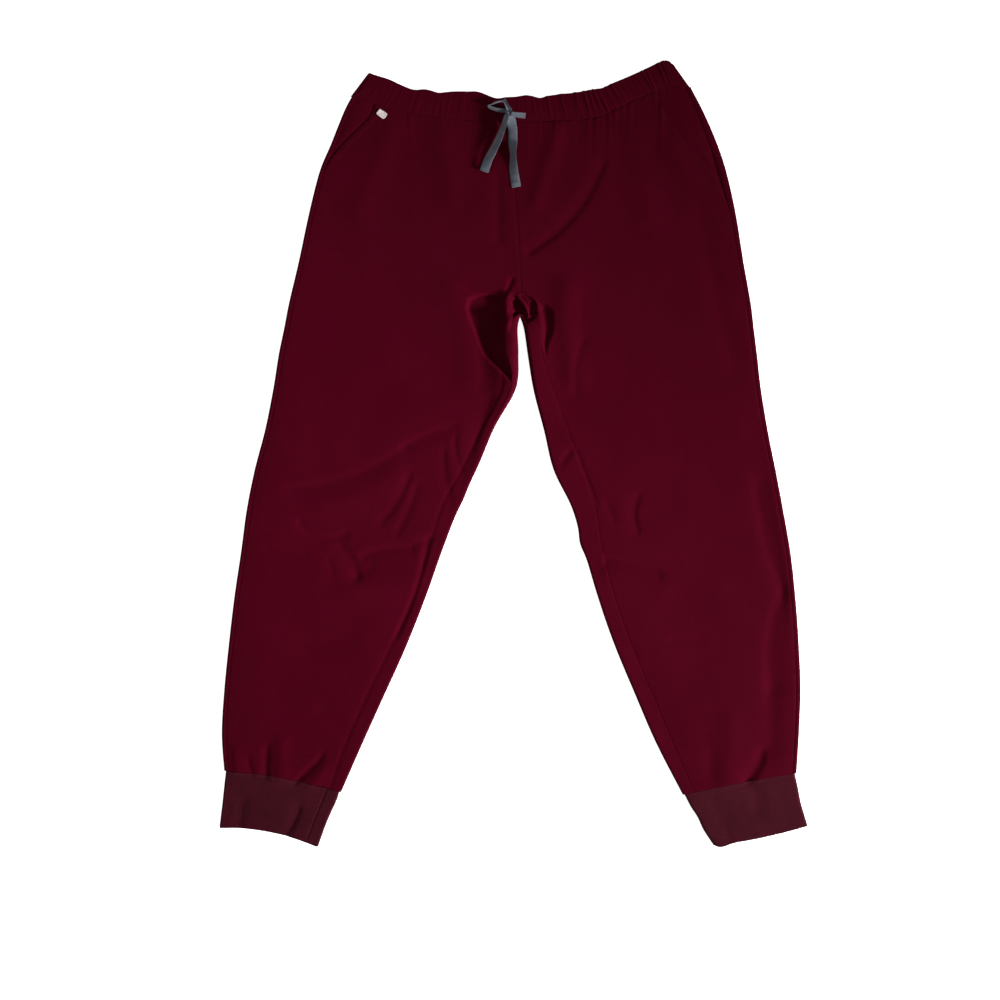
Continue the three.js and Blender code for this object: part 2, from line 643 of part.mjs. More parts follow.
function bandBack() {
  const radius = ROLL / 2;
  const last = BAND.length - 1;
  const patch = [];
  for (let row = 0; row <= BAND_ROWS; row++) {
    const up = row / BAND_ROWS;
    const line = [];
    const right = bandPlan(0, up);
    const left = bandPlan(last, up);
    const rightOut = right.clone().sub(bandPlan(1, up)).normalize();
    const leftOut = left.clone().sub(bandPlan(last - 1, up)).normalize();
    const rightSeam = right.clone().addScaledVector(rightOut, -BAND_SIDE);
    const leftSeam = left.clone().addScaledVector(leftOut, -BAND_SIDE);
    line.push(levelPair(new THREE.Vector3(rightSeam.x, rightSeam.y, ROLL), BAND_WALL));
    const rightCentre = right.clone().addScaledVector(rightOut, -radius);
    line.push(...rollPairs(rightCentre, rightOut, Math.PI / 2, -Math.PI / 2, BAND_WALL));
    for (const place of bandBackPlaces()) {
      line.push(floorPair(bandPlan(place, up), BAND_WALL));
    }
    const leftCentre = left.clone().addScaledVector(leftOut, -radius);
    line.push(...rollPairs(leftCentre, leftOut, -Math.PI / 2, Math.PI / 2, BAND_WALL));
    line.push(levelPair(new THREE.Vector3(leftSeam.x, leftSeam.y, ROLL), BAND_WALL));
    patch.push(line);
  }
  return wallGeometry([patch]);
}

// A cuff's rows, the first of which lies along the hem of the leg
function cuffRows(leg, table) {
  const outer = outerPoint(leg, LAST_ROW);
  const inner = innerPoint(leg, LAST_ROW);
  const inward = inner.clone().sub(outer).normalize();
  outer.addScaledVector(inward, CUFF_STEP_IN);
  inner.addScaledVector(inward, -CUFF_STEP_IN);
  const first = {
    outerX: outer.x,
    outerY: outer.y - SEAM_GAP,
    innerX: inner.x,
    innerY: inner.y - SEAM_GAP,
    rise: leg.hemRise,
  };
  return [first, ...table];
}

// A cuff pressed flat, a ring of wall all round
function cuff(leg, table) {
  const rows = cuffRows(leg, table);
  const radius = ROLL / 2;
  const patch = [];
  for (let step = 0; step <= CUFF_ROWS; step++) {
    const place = ((rows.length - 1) * step) / CUFF_ROWS;
    const outer = new THREE.Vector2(sample(rows, "outerX", place), sample(rows, "outerY", place));
    const inner = new THREE.Vector2(sample(rows, "innerX", place), sample(rows, "innerY", place));
    const outward = outer.clone().sub(inner).normalize();
    const rise = sample(rows, "rise", place);
    const at = (share) => {
      const end = inner.clone().addScaledVector(outward, radius);
      const plan = outer.clone().addScaledVector(outward, -radius).lerp(end, share);
      plan.y += rise * 4 * share * (1 - share);
      return plan;
    };
    const ring = rollPairs(at(0), outward, Math.PI / 2, -Math.PI / 2, RIB_WALL);
    for (let column = 1; column < FLOOR_COLUMNS; column++) {
      ring.push(floorPair(at(column / FLOOR_COLUMNS), RIB_WALL));
    }
    const inward = outward.clone().negate();
    ring.push(...rollPairs(at(1), inward, -Math.PI / 2, Math.PI / 2, RIB_WALL));
    for (let column = CUFF_COLUMNS - 1; column > 0; column--) {
      const share = column / CUFF_COLUMNS;
      const plan = at(share);
      const height = ROLL + RIB_BULGE * Math.sin(Math.PI * share);
      ring.push(levelPair(new THREE.Vector3(plan.x, plan.y, height), RIB_WALL));
    }
    ring.push(ring[0]);
    patch.push(ring);
  }
  return wallGeometry([patch]);
}

// A stretch of flat tape along points with widths. across is the plan direction of its width.
function tapeGeometry(points, across) {
  const patch = points.map((point, i) => {
    const before = points[Math.max(i - 1, 0)].at;
    const after = points[Math.min(i + 1, points.length - 1)].at;
    const along = after.clone().sub(before).normalize();
    const sideways = new THREE.Vector3(across.x, across.y, 0);
    const up = sideways.clone().cross(along).normalize();
    return [-1, 1].map((side) => {
      const edge = point.at.clone().addScaledVector(sideways, (side * point.width) / 2);
      return {
        outer: edge.clone().addScaledVector(up, TAPE_WALL / 2),
        inner: edge.clone().addScaledVector(up, -TAPE_WALL / 2),
      };
    });
  });
  return wallGeometry([patch]);
}

// Height of what a tape lies on, the waistband or the highest cloth across its width
function groundHeight(x, y, halfWidth) {
  const cloth = Math.max(topHeight(x - halfWidth, y), topHeight(x, y), topHeight(x + halfWidth, y));
  const offBand = smooth((bandBottom(x) - y - BAND_CLEAR) / BAND_DROP);
  return THREE.MathUtils.lerp(BAND_TOP, cloth, offBand);
}

function tapePoint(table, place, lift) {
  const x = sample(table, "x", place);
  const y = sample(table, "y", place);
  const width = sample(table, "width", place);
  const raised = sample(table, "lift", place) + TAPE_CLEAR + TAPE_WALL / 2 + lift;
  return { at: new THREE.Vector3(x, y, groundHeight(x, y, width / 2) + raised), width };
}

function acrossOf(table) {
  const first = table[0];
  const last = table[table.length - 1];
  const along = new THREE.Vector2(last.x - first.x, last.y - first.y).normalize();
  return new THREE.Vector2(-along.y, along.x);
}

function tail(table) {
  const points = [];
  for (let step = 0; step <= TAIL_STEPS; step++) {
    points.push(tapePoint(table, ((table.length - 1) * step) / TAIL_STEPS, 0));
  }
  return tapeGeometry(points, acrossOf(table));
}

// A loop that runs out along the cloth, turns over at its far end and comes back on top of itself
function loop(table) {
  const last = table.length - 1;
  const points = [];
  for (let step = 0; step <= LOOP_STEPS; step++) {
    points.push(tapePoint(table, (last * step) / LOOP_STEPS, 0));
  }
  const end = tapePoint(table, last, TAPE_LAYERS / 2);
  const across = acrossOf(table);
  const onward = new THREE.Vector3(across.y, -across.x, 0);
  for (let step = 1; step < TURN_STEPS; step++) {
    const angle = -Math.PI / 2 + (Math.PI * step) / TURN_STEPS;
    const at = end.at.clone().addScaledVector(onward, (TAPE_LAYERS / 2) * Math.cos(angle));
    at.z += (TAPE_LAYERS / 2) * Math.sin(angle);
    points.push({ at, width: end.width });
  }
  for (let step = LOOP_STEPS; step >= 0; step--) {
    points.push(tapePoint(table, (last * step) / LOOP_STEPS, TAPE_LAYERS));
  }
  return tapeGeometry(points, across);
}

function knot() {
  const geometry = new THREE.SphereGeometry(1, KNOT.around, KNOT.up);
  geometry.scale(KNOT.halfX, KNOT.halfY, KNOT.halfZ);
  geometry.translate(KNOT.x, KNOT.y, BAND_TOP + KNOT.halfZ + TAPE_CLEAR / 2);
  return geometry;
}

// The small plain oblong, made from the points of the cloth below it, moved out
function patchOnEdge() {
  const across = 4;
  const up = 3;
  const patch = [];
  for (let row = 0; row <= up; row++) {
    const line = [];
    for (let column = 0; column <= across; column++) {
      const atEnd = column % across === 0 && row % up === 0;
      const inset = atEnd ? PATCH.corner * 0.3 : 0;
      const x = (column / across - 0.5) * (PATCH.length - inset * 2);
      const y = (row / up - 0.5) * (PATCH.height - inset * 2);
      const plan = new THREE.Vector2(x, y).rotateAround(new THREE.Vector2(), PATCH.turn);
      plan.x += PATCH.x;
      plan.y += PATCH.y;
      const height = topHeight(plan.x, plan.y) + SEAM_GAP + PATCH_WALL;
      line.push(levelPair(new THREE.Vector3(plan.x, plan.y, height), PATCH_WALL));
    }
    patch.push(line);
  }
  return wallGeometry([patch]);
}

const trousers = new THREE.Group();
for (const [side, leg, table] of [
  ["right", RIGHT_LEG, RIGHT_CUFF],
  ["left", LEFT_LEG, LEFT_CUFF],
]) {
  trousers.add(piece(`front_${side}`, frontPanel(leg), COLOURS.cloth, 0.85));
  trousers.add(piece(`back_${side}`, backPanel(leg), COLOURS.cloth, 0.85));
  trousers.add(piece(`pocket_facing_${side}`, pocketFacing(leg), COLOURS.cloth, 0.85));
  trousers.add(piece(`cuff_${side}`, cuff(leg, table), COLOURS.rib, 0.95));
}
trousers.add(piece("waistband_front", bandFront(), COLOURS.cloth, 0.85));
trousers.add(piece("waistband_back", bandBack(), COLOURS.cloth, 0.85));

const drawstring = new THREE.Group();
drawstring.add(piece("drawstring_knot", knot(), COLOURS.tape, 0.9));
drawstring.add(piece("drawstring_loop_short", loop(LOOP_SHORT), COLOURS.tape, 0.9));
drawstring.add(piece("drawstring_loop_long", loop(LOOP_LONG), COLOURS.tape, 0.9));
drawstring.add(piece("drawstring_tail_long", tail(TAIL_LONG), COLOURS.tape, 0.9));
drawstring.add(piece("drawstring_tail_short", tail(TAIL_SHORT), COLOURS.tape, 0.9));
trousers.add(drawstring);
trousers.add(piece("patch", patchOnEdge(), COLOURS.patch, 0.7));

export default trousers;
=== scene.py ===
"""Medical scrub trousers in jogger style, laid flat with the front up.

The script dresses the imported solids: each panel, band, cuff and tape is a thin shell on its
solid's form, with finer folds, gathers, ribs and stitches. Lengths in the tables are millimetres,
and everything that is built from them is in metres, X across, Y from the cuffs to the waist and Z
up from the surface. Right and left are the wearer's.
"""

import logging
import math
from dataclasses import dataclass, field
from enum import Enum

import bpy
import numpy as np
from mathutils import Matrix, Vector


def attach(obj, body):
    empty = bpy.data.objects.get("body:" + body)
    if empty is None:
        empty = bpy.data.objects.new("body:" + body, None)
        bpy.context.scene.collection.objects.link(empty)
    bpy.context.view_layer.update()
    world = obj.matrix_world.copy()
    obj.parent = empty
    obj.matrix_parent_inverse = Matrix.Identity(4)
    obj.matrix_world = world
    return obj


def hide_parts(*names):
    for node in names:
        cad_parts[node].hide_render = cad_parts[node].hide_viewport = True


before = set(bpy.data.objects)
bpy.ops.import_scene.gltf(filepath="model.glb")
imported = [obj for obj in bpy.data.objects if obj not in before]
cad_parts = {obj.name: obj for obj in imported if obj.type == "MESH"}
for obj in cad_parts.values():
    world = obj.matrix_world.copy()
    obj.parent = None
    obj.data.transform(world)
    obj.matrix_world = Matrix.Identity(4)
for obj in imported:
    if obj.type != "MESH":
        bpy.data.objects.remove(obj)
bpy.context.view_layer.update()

LOG = logging.getLogger("trousers")
Array = np.ndarray
MM = 0.001
BODY_NAME = "root"


def smooth(share: Array | float) -> Array:
    """Turn shares of a length into ones with soft ends.

    Args:
        share: Any numbers, where 0 is the start and 1 the end.

    Returns:
        Numbers from 0 to 1.
    """
    held = np.clip(share, 0.0, 1.0)
    return held * held * (3 - 2 * held)


def bell(offset: Array, width: float | Array) -> Array:
    """Give the height of a soft ridge of height 1 at an offset from its middle.

    Args:
        offset: Distances from the middle of the ridge.
        width: Distance at which the ridge has fallen to about a third.

    Returns:
        Heights from 0 to 1.
    """
    return np.exp(-((offset / width) ** 2))


def unit(vectors: Array) -> Array:
    """Scale vectors to a length of 1."""
    return vectors / np.maximum(np.linalg.norm(vectors, axis=-1, keepdims=True), 1e-12)


def run_length(line: Array) -> Array:
    """Give how far along a line each of its points is."""
    return np.concatenate([[0.0], np.cumsum(np.linalg.norm(np.diff(line, axis=0), axis=1))])


def raised(plan: Array, height: Array | float) -> Array:
    """Join points of the plan and their heights.

    Args:
        plan: Points in X and Y.
        height: One height for all, or one for each point.

    Returns:
        Points in X, Y and Z.
    """
    heights = np.broadcast_to(height, plan.shape[:-1])
    return np.concatenate([plan, heights[..., None]], axis=-1)


class Side(Enum):
    """The wearer's two sides."""

    RIGHT = "right"
    LEFT = "left"


class Slot(Enum):
    """Kinds of material: cloth, rib, tape and patch."""

    CLOTH = "cloth"
    RIB = "rib"
    TAPE = "tape"
    PATCH = "patch"


@dataclass(frozen=True)
class Table:
    """Rows of named columns in millimetres, read as smooth curves in metres."""

    columns: tuple[str, ...]
    rows: tuple[tuple[float, ...], ...]

    @property
    def last(self) -> int:
        """Number of the last row."""
        return len(self.rows) - 1

    def at(self, column: str, place: Array | float, corner: int = -1) -> Array:
        """Read a column at any places between its rows.

        Args:
            column: Name of the column.
            place: Places along the rows, where 0 is the first row.
            corner: Row at which the curve has a corner.

        Returns:
            Values in metres.
        """
        index = self.columns.index(column)
        values = np.array([row[index] for row in self.rows]) * MM
        places = np.asarray(place, dtype=float)
        start = np.minimum(np.floor(places).astype(int), self.last - 1)
        share = places - start
        low = np.where(start >= corner, max(corner, 0), 0)
        high = np.where(start + 1 <= corner, corner, self.last)
        before, here, after, beyond = (
            values[np.clip(start + step, low, high)] for step in (-1, 0, 1, 2)
        )
        square = share * share
        cube = square * share
        start_share = 2 * cube - 3 * square + 1
        curve = start_share * here + (1 - start_share) * after
        curve = curve + (cube - 2 * square + share) * (after - before) / 2
        return curve + (cube - square) * (beyond - here) / 2

    def point(self, name: str, place: Array | float, corner: int = -1) -> Array:
        """Read a pair of X and Y columns as points of the plan.

        Args:
            name: Start of both columns' names.
            place: Places along the rows.
            corner: Row at which the curve has a corner.

        Returns:
            Points in X and Y.
        """
        across = self.at(f"{name}_x", place, corner)
        return np.stack([across, self.at(f"{name}_y", place, corner)], axis=-1)


@dataclass(frozen=True)
class Nick:
    """A small bulge of a leg's edge, or a notch where its size is negative."""

    edge: str
    place: float
    spread: float
    out: float


CROTCH_ROW = 6
ROLL = 6 * MM
SEAM_GAP = 0.1 * MM
BAND_GAP = 0.1 * MM
CLOTH_WALL = 0.8 * MM
SIDE_DIP_WIDTH = 1.6 * MM
STITCH_START = 0.05
STITCH_STOP = 0.1
LEG_COLUMNS = (
    "outer_x", "outer_y", "inner_x", "inner_y", "seam_x", "seam_y", "side", "pocket", "roll"
)


@dataclass(frozen=True)
class Leg:
    """The outline and the seams of one leg as it lies, a row across it at each place."""

    side: Side
    hand: int
    hem_rise: float
    facing_end: float
    rows: Table
    side_dip: float
    seam_dip: float
    seam_width: float
    nicks: tuple[Nick, ...] = ()

    @property
    def last(self) -> int:
        """Number of the row along the hem."""
        return self.rows.last

    def places(self, hip: int, below: int) -> Array:
        """Space places down the leg, with one on the crotch.

        Args:
            hip: Number of steps above the crotch.
            below: Number of steps below it.

        Returns:
            Places from the waist to the hem.
        """
        upper = np.linspace(0, CROTCH_ROW, hip, endpoint=False)
        share = np.linspace(0, 1, below + 1)
        lower = CROTCH_ROW + (self.last - CROTCH_ROW) * (share + share**2) / 2
        return np.concatenate([upper, lower])

    def edge(self, name: str, place: Array | float) -> Array:
        """Give an edge or a seam of the leg with its small bulges.

        Args:
            name: outer, inner or seam.
            place: Places down the leg.

        Returns:
            Points in X and Y.
        """
        corner = -1 if name == "outer" else CROTCH_ROW
        points = self.rows.point(name, place, corner)
        opposite = "inner" if name == "outer" else "outer"
        out = unit(points - self.rows.point(opposite, place, corner))
        for nick in self.nicks:
            if nick.edge == name:
                size = bell(np.asarray(place) - nick.place, nick.spread) * nick.out * MM
                points = points + out * size[..., None]
        return points

    def outer(self, place: Array | float) -> Array:
        """Give points of the side edge."""
        return self.edge("outer", place)

    def inner(self, place: Array | float) -> Array:
        """Give points of the inside edge, or of the centre back seam above the crotch."""
        return self.edge("inner", place)

    def seam(self, place: Array | float) -> Array:
        """Give points of the centre front seam, or of the inseam below the crotch."""
        return self.edge("seam", place)

    def seam_normal(self, place: Array | float) -> Array:
        """Give the direction across the seam from the front panel to the back one."""
        step = 0.2
        before = self.seam(np.maximum(np.asarray(place) - step, 0))
        along = unit(self.seam(np.minimum(np.asarray(place) + step, self.last)) - before)
        return np.stack([along[..., 1], -along[..., 0]], axis=-1) * self.hand

    def front_end(self, place: Array | float) -> Array:
        """Give points of the front panel's edge along the centre seam and the inseam."""
        return self.seam(place) - self.seam_normal(place) * SEAM_GAP / 2

    def side_distance(self, place: Array | float) -> Array:
        """Give the distance from the side edge to the side seam."""
        return self.rows.at("side", place)

    def pocket_distance(self, place: Array | float) -> Array:
        """Give the distance from the side edge to the front panel."""
        return np.maximum(self.rows.at("pocket", place), self.side_distance(place))

    def roll_height(self, place: Array | float) -> Array:
        """Give the height of the roll of the inside edge."""
        return self.rows.at("roll", place, CROTCH_ROW)

    def inner_heading(self, place: Array) -> Array:
        """Give the direction in which the inside edge faces, which turns at the crotch."""
        inward = unit(self.inner(place) - self.outer(place))
        turn = smooth(np.asarray(place) - CROTCH_ROW)[..., None]
        return unit(np.array([0.0, -1.0]) * (1 - turn) + inward * turn)


RIGHT_LEG = Leg(
    side=Side.RIGHT,
    hand=-1,
    hem_rise=4.5 * MM,
    facing_end=2.7,
    side_dip=0.15 * MM,
    seam_dip=0.5 * MM,
    seam_width=3.2 * MM,
    nicks=(Nick("inner", 11.85, 0.3, 1.5),),
    rows=Table(
        LEG_COLUMNS,
        (
            (-201, 446, 1, 412, 1, 412, 5.5, 30, 6),
            (-211, 426, 1, 374, 1, 378, 5.5, 32, 6),
            (-227, 386, 2, 334, 2.5, 342, 5.5, 14, 6),
            (-241, 352, 3, 294, 4, 306, 5.5, 5.5, 6),
            (-254, 301, 5, 252, 7, 270, 5.5, 5.5, 6),
            (-267, 240, 7, 211, 9, 235, 5.5, 5.5, 6),
            (-279, 189, 9, 171, 11, 200, 5.5, 5.5, 7),
            (-285, 158, 6, 155, -10, 160, 5.5, 5.5, 18),
            (-292, 124, 7, 122, -12, 122, 5.5, 5.5, 19),
            (-299, 80, 4, 81, -15, 80, 5.5, 5.5, 13.5),
            (-309, 30, -22, 34, -39, 32, 5.5, 5.5, 8),
            (-322, -20, -43, -15, -62, -16, 5.5, 5.5, 6.5),
            (-332, -70, -66, -64, -88, -65, 5.5, 5.5, 6),
            (-339, -122, -88, -121, -106, -121, 5.5, 5.5, 6),
            (-347, -176, -109, -180, -124, -180, 5.5, 5.5, 6),
            (-354, -235, -134, -243, -153, -242, 5.5, 5.5, 6),
            (-360, -295, -162, -305, -183, -304, 5.5, 5.5, 6),
            (-363, -349, -189, -365, -209, -363, 5.5, 5.5, 6),
            (-360, -395, -214, -422, -228, -419, 5.5, 5.5, 6),
        ),
    ),
)
LEFT_LEG = Leg(
    side=Side.LEFT,
    hand=1,
    hem_rise=1.5 * MM,
    facing_end=3.6,
    side_dip=0.3 * MM,
    seam_dip=0.3 * MM,
    seam_width=1.3 * MM,
    nicks=(Nick("inner", 12.85, 0.25, 2.8),),
    rows=Table(
        LEG_COLUMNS,
        (
            (222, 456, 1, 412, 1, 412, 6, 44, 6),
            (237, 428, 1, 374, 1, 378, 7, 46, 6),
            (253, 392, 2, 334, 2.5, 342, 9, 36, 6),
            (266, 354, 3, 294, 4, 306, 9.5, 17, 6),
            (278, 301, 5, 252, 7, 270, 7, 7, 6),
            (288, 239, 7, 211, 9, 235, 6, 6, 6),
            (297, 188, 9, 171, 11, 200, 5.5, 5.5, 4),
            (301, 155, 14, 155, 32, 160, 5.5, 5.5, 10),
            (305, 122, 19, 121, 37, 121, 5.5, 5.5, 10.5),
            (310, 79, 26, 79, 51, 79, 5.5, 5.5, 9),
            (318, 30, 39, 29, 69, 29, 5.5, 5.5, 7),
            (328, -20, 51, -20, 87, -20, 5.5, 5.5, 6.5),
            (338, -73, 74, -68, 103, -69, 5.5, 5.5, 6),
            (347, -126, 89, -120, 112, -121, 5.5, 5.5, 6),
            (353, -182, 106, -178, 127, -178, 5.5, 5.5, 6),
            (357, -239, 126, -236, 147, -236, 5.5, 5.5, 6),
            (359, -295, 153, -301, 174, -300, 5.5, 5.5, 6),
            (357, -351, 179, -361, 199, -360, 5.5, 5.5, 6),
            (354, -398, 212, -425, 226, -422, 5.5, 5.5, 6),
        ),
    ),
)


@dataclass(frozen=True)
class BandCut:
    """The outline of the waistband from the right side to the left one."""

    edges: Table = Table(
        ("top_x", "top_y", "bottom_x", "bottom_y"),
        (
            (-180, 475, -202, 446),
            (-154, 467, -171, 435),
            (-124, 454, -137, 426),
            (-94, 451, -102, 420),
            (-64, 452, -68, 416),
            (-34, 449, -36, 414),
            (1, 445, 1, 413),
            (33, 446, 36, 413),
            (66, 449, 72, 415),
            (101, 455, 109, 419),
            (131, 465, 143, 435),
            (161, 478, 173, 448),
            (189, 490.5, 200, 457),
            (201, 485, 221, 457),
        ),
    )
    waves: tuple[tuple[float, float, float], ...] = (
        (-109, 10, 3.0),
        (-92, 6, -0.8),
        (-45, 9, 1.6),
        (-21, 11, -3.8),
        (16, 10, 2.2),
        (34, 7, -2.2),
        (60, 8, 0.6),
        (112, 9, -1.6),
    )
    readings: int = 600

    def plan(self, place: Array | float, up: Array | float) -> Array:
        """Give points of the band.

        Args:
            place: Places along the band's rows.
            up: Shares of the height, 0 at the seam with the panels and 1 at the top.

        Returns:
            Points in X and Y.
        """
        bottom = self.edges.point("bottom", place)
        top = self.edges.point("top", place)
        for middle, width, height in self.waves:
            top[..., 1] += height * MM * bell(top[..., 0] - middle * MM, width * MM)
        return bottom + (top - bottom) * np.asarray(up)[..., None]

    def place_over(self, across: Array) -> Array:
        """Give the places at which the bottom edge reaches some X."""
        places = np.linspace(0, self.edges.last, self.readings)
        return np.interp(across, self.edges.at("bottom_x", places), places)

    def bottom(self, across: Array) -> Array:
        """Give the Y of the bottom edge at some X."""
        return self.edges.at("bottom_y", self.place_over(across))

    def place_inside(self, up: Array, distance: float, from_left: bool) -> Array:
        """Give the places a distance in from one end of the band.

        Args:
            up: Shares of the height.
            distance: Distance from the end in metres.
            from_left: Whether the end is the wearer's left one.

        Returns:
            One place for each share of the height.
        """
        places = np.linspace(0, 1.5, self.readings)
        if from_left:
            places = self.edges.last - places
        found = []
        for share in np.atleast_1d(up):
            line = self.plan(places, np.full(len(places), share))
            found.append(np.interp(distance, run_length(line), places))
        return np.array(found)


@dataclass(frozen=True)
class Outline:
    """The plan of the whole garment, both legs and the waistband."""

    right: Leg = RIGHT_LEG
    left: Leg = LEFT_LEG
    band: BandCut = BandCut()
    band_fade_row: int = 3
    hem_fade_rows: int = 3
    edge_steps: int = 76

    def follow_ends(self, leg: Leg, place: Array, plan: Array) -> Array:
        """Move points so that the first rows follow the waistband and the last ones the hem.

        Args:
            leg: The leg that the points are on.
            place: The points' places down the leg.
            plan: The points in X and Y.

        Returns:
            The moved points.
        """
        moved = plan.copy()
        places = np.broadcast_to(place, plan.shape[:-1])
        outer, inner = leg.outer(0.0), leg.seam(0.0)
        slope = (inner[1] - outer[1]) / (inner[0] - outer[0])
        inside = np.clip(plan[..., 0], min(outer[0], inner[0]), max(outer[0], inner[0]))
        line = outer[1] + slope * (inside - outer[0])
        fade = np.clip(1 - places / self.band_fade_row, 0, 1) ** 2
        moved[..., 1] += fade * (self.band.bottom(inside) - BAND_GAP - line)
        hem = np.clip((places - leg.last + self.hem_fade_rows) / self.hem_fade_rows, 0, 1)
        outer_x, inner_x = leg.outer(places)[..., 0], leg.inner(places)[..., 0]
        share = np.clip((plan[..., 0] - outer_x) / (inner_x - outer_x), 0, 1)
        moved[..., 1] += hem**2 * leg.hem_rise * 4 * share * (1 - share)
        return moved

    def rolled_edges(self) -> list[Array]:
        """Give every rolled edge below the waistband, points of the plan with the roll's height."""
        edges = []
        for leg in (self.right, self.left):
            place = np.linspace(0, leg.last, self.edge_steps)
            edges.append(raised(leg.outer(place), ROLL))
            place = np.linspace(CROTCH_ROW, leg.last, self.edge_steps)
            edges.append(raised(leg.inner(place), leg.roll_height(place)))
        return edges

    def nearest_edge(self, plan: Array) -> tuple[Array, Array]:
        """Find the nearest rolled edge.

        Args:
            plan: Points in X and Y.

        Returns:
            Distances to it, and the height of its roll there.
        """
        nearest = np.full(plan.shape[:-1], np.inf)
        height = np.full(plan.shape[:-1], ROLL)
        for edge in self.rolled_edges():
            for start, end in zip(edge[:-1], edge[1:]):
                reach = end[:2] - start[:2]
                share = np.clip(((plan - start[:2]) @ reach) / (reach @ reach), 0, 1)
                gap = plan - start[:2] - share[..., None] * reach
                distance = np.hypot(gap[..., 0], gap[..., 1])
                closer = distance < nearest
                height = np.where(closer, start[2] + share * (end[2] - start[2]), height)
                nearest = np.where(closer, distance, nearest)
        return nearest, height


FOLD_COLUMNS = ("x0", "y0", "x1", "y1", "bend", "width", "height", "lean", "free")
MAIN_FOLDS = (
    (-76, 206, -52, 96, 6, 17, 1.6, 0, 0),
    (-28, 68, -53, -33, -4, 8, -1.6, 0.3, 0),
    (-278, -43, -134, 8, -12, 7, -0.95, 0.4, 0),
    (-134, 8, -74, 34, 3, 6, -0.95, 0.4, 0),
    (-238, -64, -150, -30, -4, 18, 1.2, 0, 0),
    (-86, 3, -72, -66, -4, 5, -1.0, 0.3, 0),
    (-72, 20, -53, -36, -6, 4, -0.9, 0, 0),
    (-129, -26, -163, -84, 4, 5, -1.1, 0.3, 0),
    (-120, -43, -144, -98, 2, 5, -0.8, 0, 0),
    (-264, -86, -208, -100, -11, 5, -1.3, 0.4, 0),
    (-304, -116, -259, -124, 0, 6, -0.8, 0.3, 0),
    (-213, -117, -194, -152, 4, 6.5, -1.6, 0.4, 0),
    (-194, -152, -176, -142, 0, 7, -1.1, 0, 0),
    (-187, -128, -127, -117, 4, 5, -1.5, 0.4, 0),
    (-118, -109, -91, -104, 0, 5, -0.9, 0, 0),
    (-205, -172, -110, -160, 0, 18, 1.2, 0, 0),
    (-230, -133, -224, -148, 0, 3, -0.8, 0, 0),
    (-106, -107, -143, -226, 5, 4.5, -1.2, 0, 0),
    (-257, -236, -203, -229, 0, 8, -0.6, 0.4, 0),
    (-239, -321, -208, -344, 0, 8, -0.8, 0.4, 0),
    (-307, -368, -308, -402, 0, 4.6, -1.8, 0, 0),
    (-330, -382, -325, -400, 0, 4, -1.2, 0, 0),
    (-238, -378, -270, -409, 0, 3.8, -2.0, 0, 0),
    (-288, -362, -288, -402, 0, 10, 1.6, 0, 0),
    (-345, -372, -345, -394, 0, 8, 1.1, 0, 0),
    (-236, -396, -250, -412, 0, 7, 1.4, 0, 0),
    (68, 206, 74, 96, -4, 16, 2.4, 0, 0),
    (88, 142, 79, 78, -5, 6, -1.0, 0, 0),
    (80, 4, 104, -60, 0, 2.2, -0.7, 0, 0),
    (118, -130, 184, -150, 3, 4, -1.7, 0.5, 0),
    (120, -148, 190, -168, 0, 14, 1.0, 0, 0),
    (156, -54, 156, -95, -5, 5, -1.3, 0.4, 0),
    (118, -65, 126, -82, 0, 5, -0.8, 0, 0),
    (71, 2, 55, -16, 0, 4.5, -1.4, 0, 0),
    (198, -232, 236, -231, 0, 5, -0.7, 0, 0),
    (138, -245, 154, -248, 0, 3.5, -1.0, 0, 0),
    (306, -40, 339, -172, -5, 11, -1.6, -0.3, 0),
    (339, -172, 323, -292, -9, 11, -1.6, -0.3, 0),
    (323, -292, 321, -368, 0, 12, -1.4, 0, 0),
    (310, -374, 293, -405, 3, 7, -2.4, 0.3, 0),
    (272, -340, 268, -404, 0, 16, 1.6, 0, 0),
    (247, -378, 247, -400, 0, 8, -0.9, 0, 0),
    (112, 360, 21, 252, 13, 5.5, -1.7, 0.4, 0),
    (57, 405, 28, 315, 0, 11, 1.8, 0, 0),
    (-19, 345, -18, 268, 0, 7, -1.0, 0, 0),
    (232, 317, 277, 106, -4, 12, -1.1, 0, 0),
    (248, 372, 261, 339, 0, 4, -1.6, 0, 0),
    (200, 380, 236, 318, 0, 16, 1.2, 0, 0),
    (-88, 398, -78, 320, 0, 15, 1.1, 0, 0),
    (150, 400, 170, 300, 0, 18, 1.3, 0, 0),
    (-150, 405, -190, 310, 0, 18, 1.3, 0, 0),
    (-3, 190, 31, 184, 12.5, 2.0, 0.9, 0, 1),
    (7, 194, 19, 172, 2, 2.7, 7.0, 0, 1),
    (-8, 195, -7, 162, 0, 7, 7.0, 0, 1),
    (-10, 196, -1, 217, 0, 3, -1.8, 0, 0),
    (-267, -442, -283, -474, 2, 6, -2.4, 0.3, 0),
    (-341, -462, -336, -434, 0, 7, -1.7, 0, 0),
    (-232, -418, -256, -478, 0, 1.4, -0.9, 0, 0),
    (296, -408, 306, -440, 0, 7, -1.0, 0, 0),
    (250, -430, 268, -478, 0, 7, -0.8, 0, 0),
)


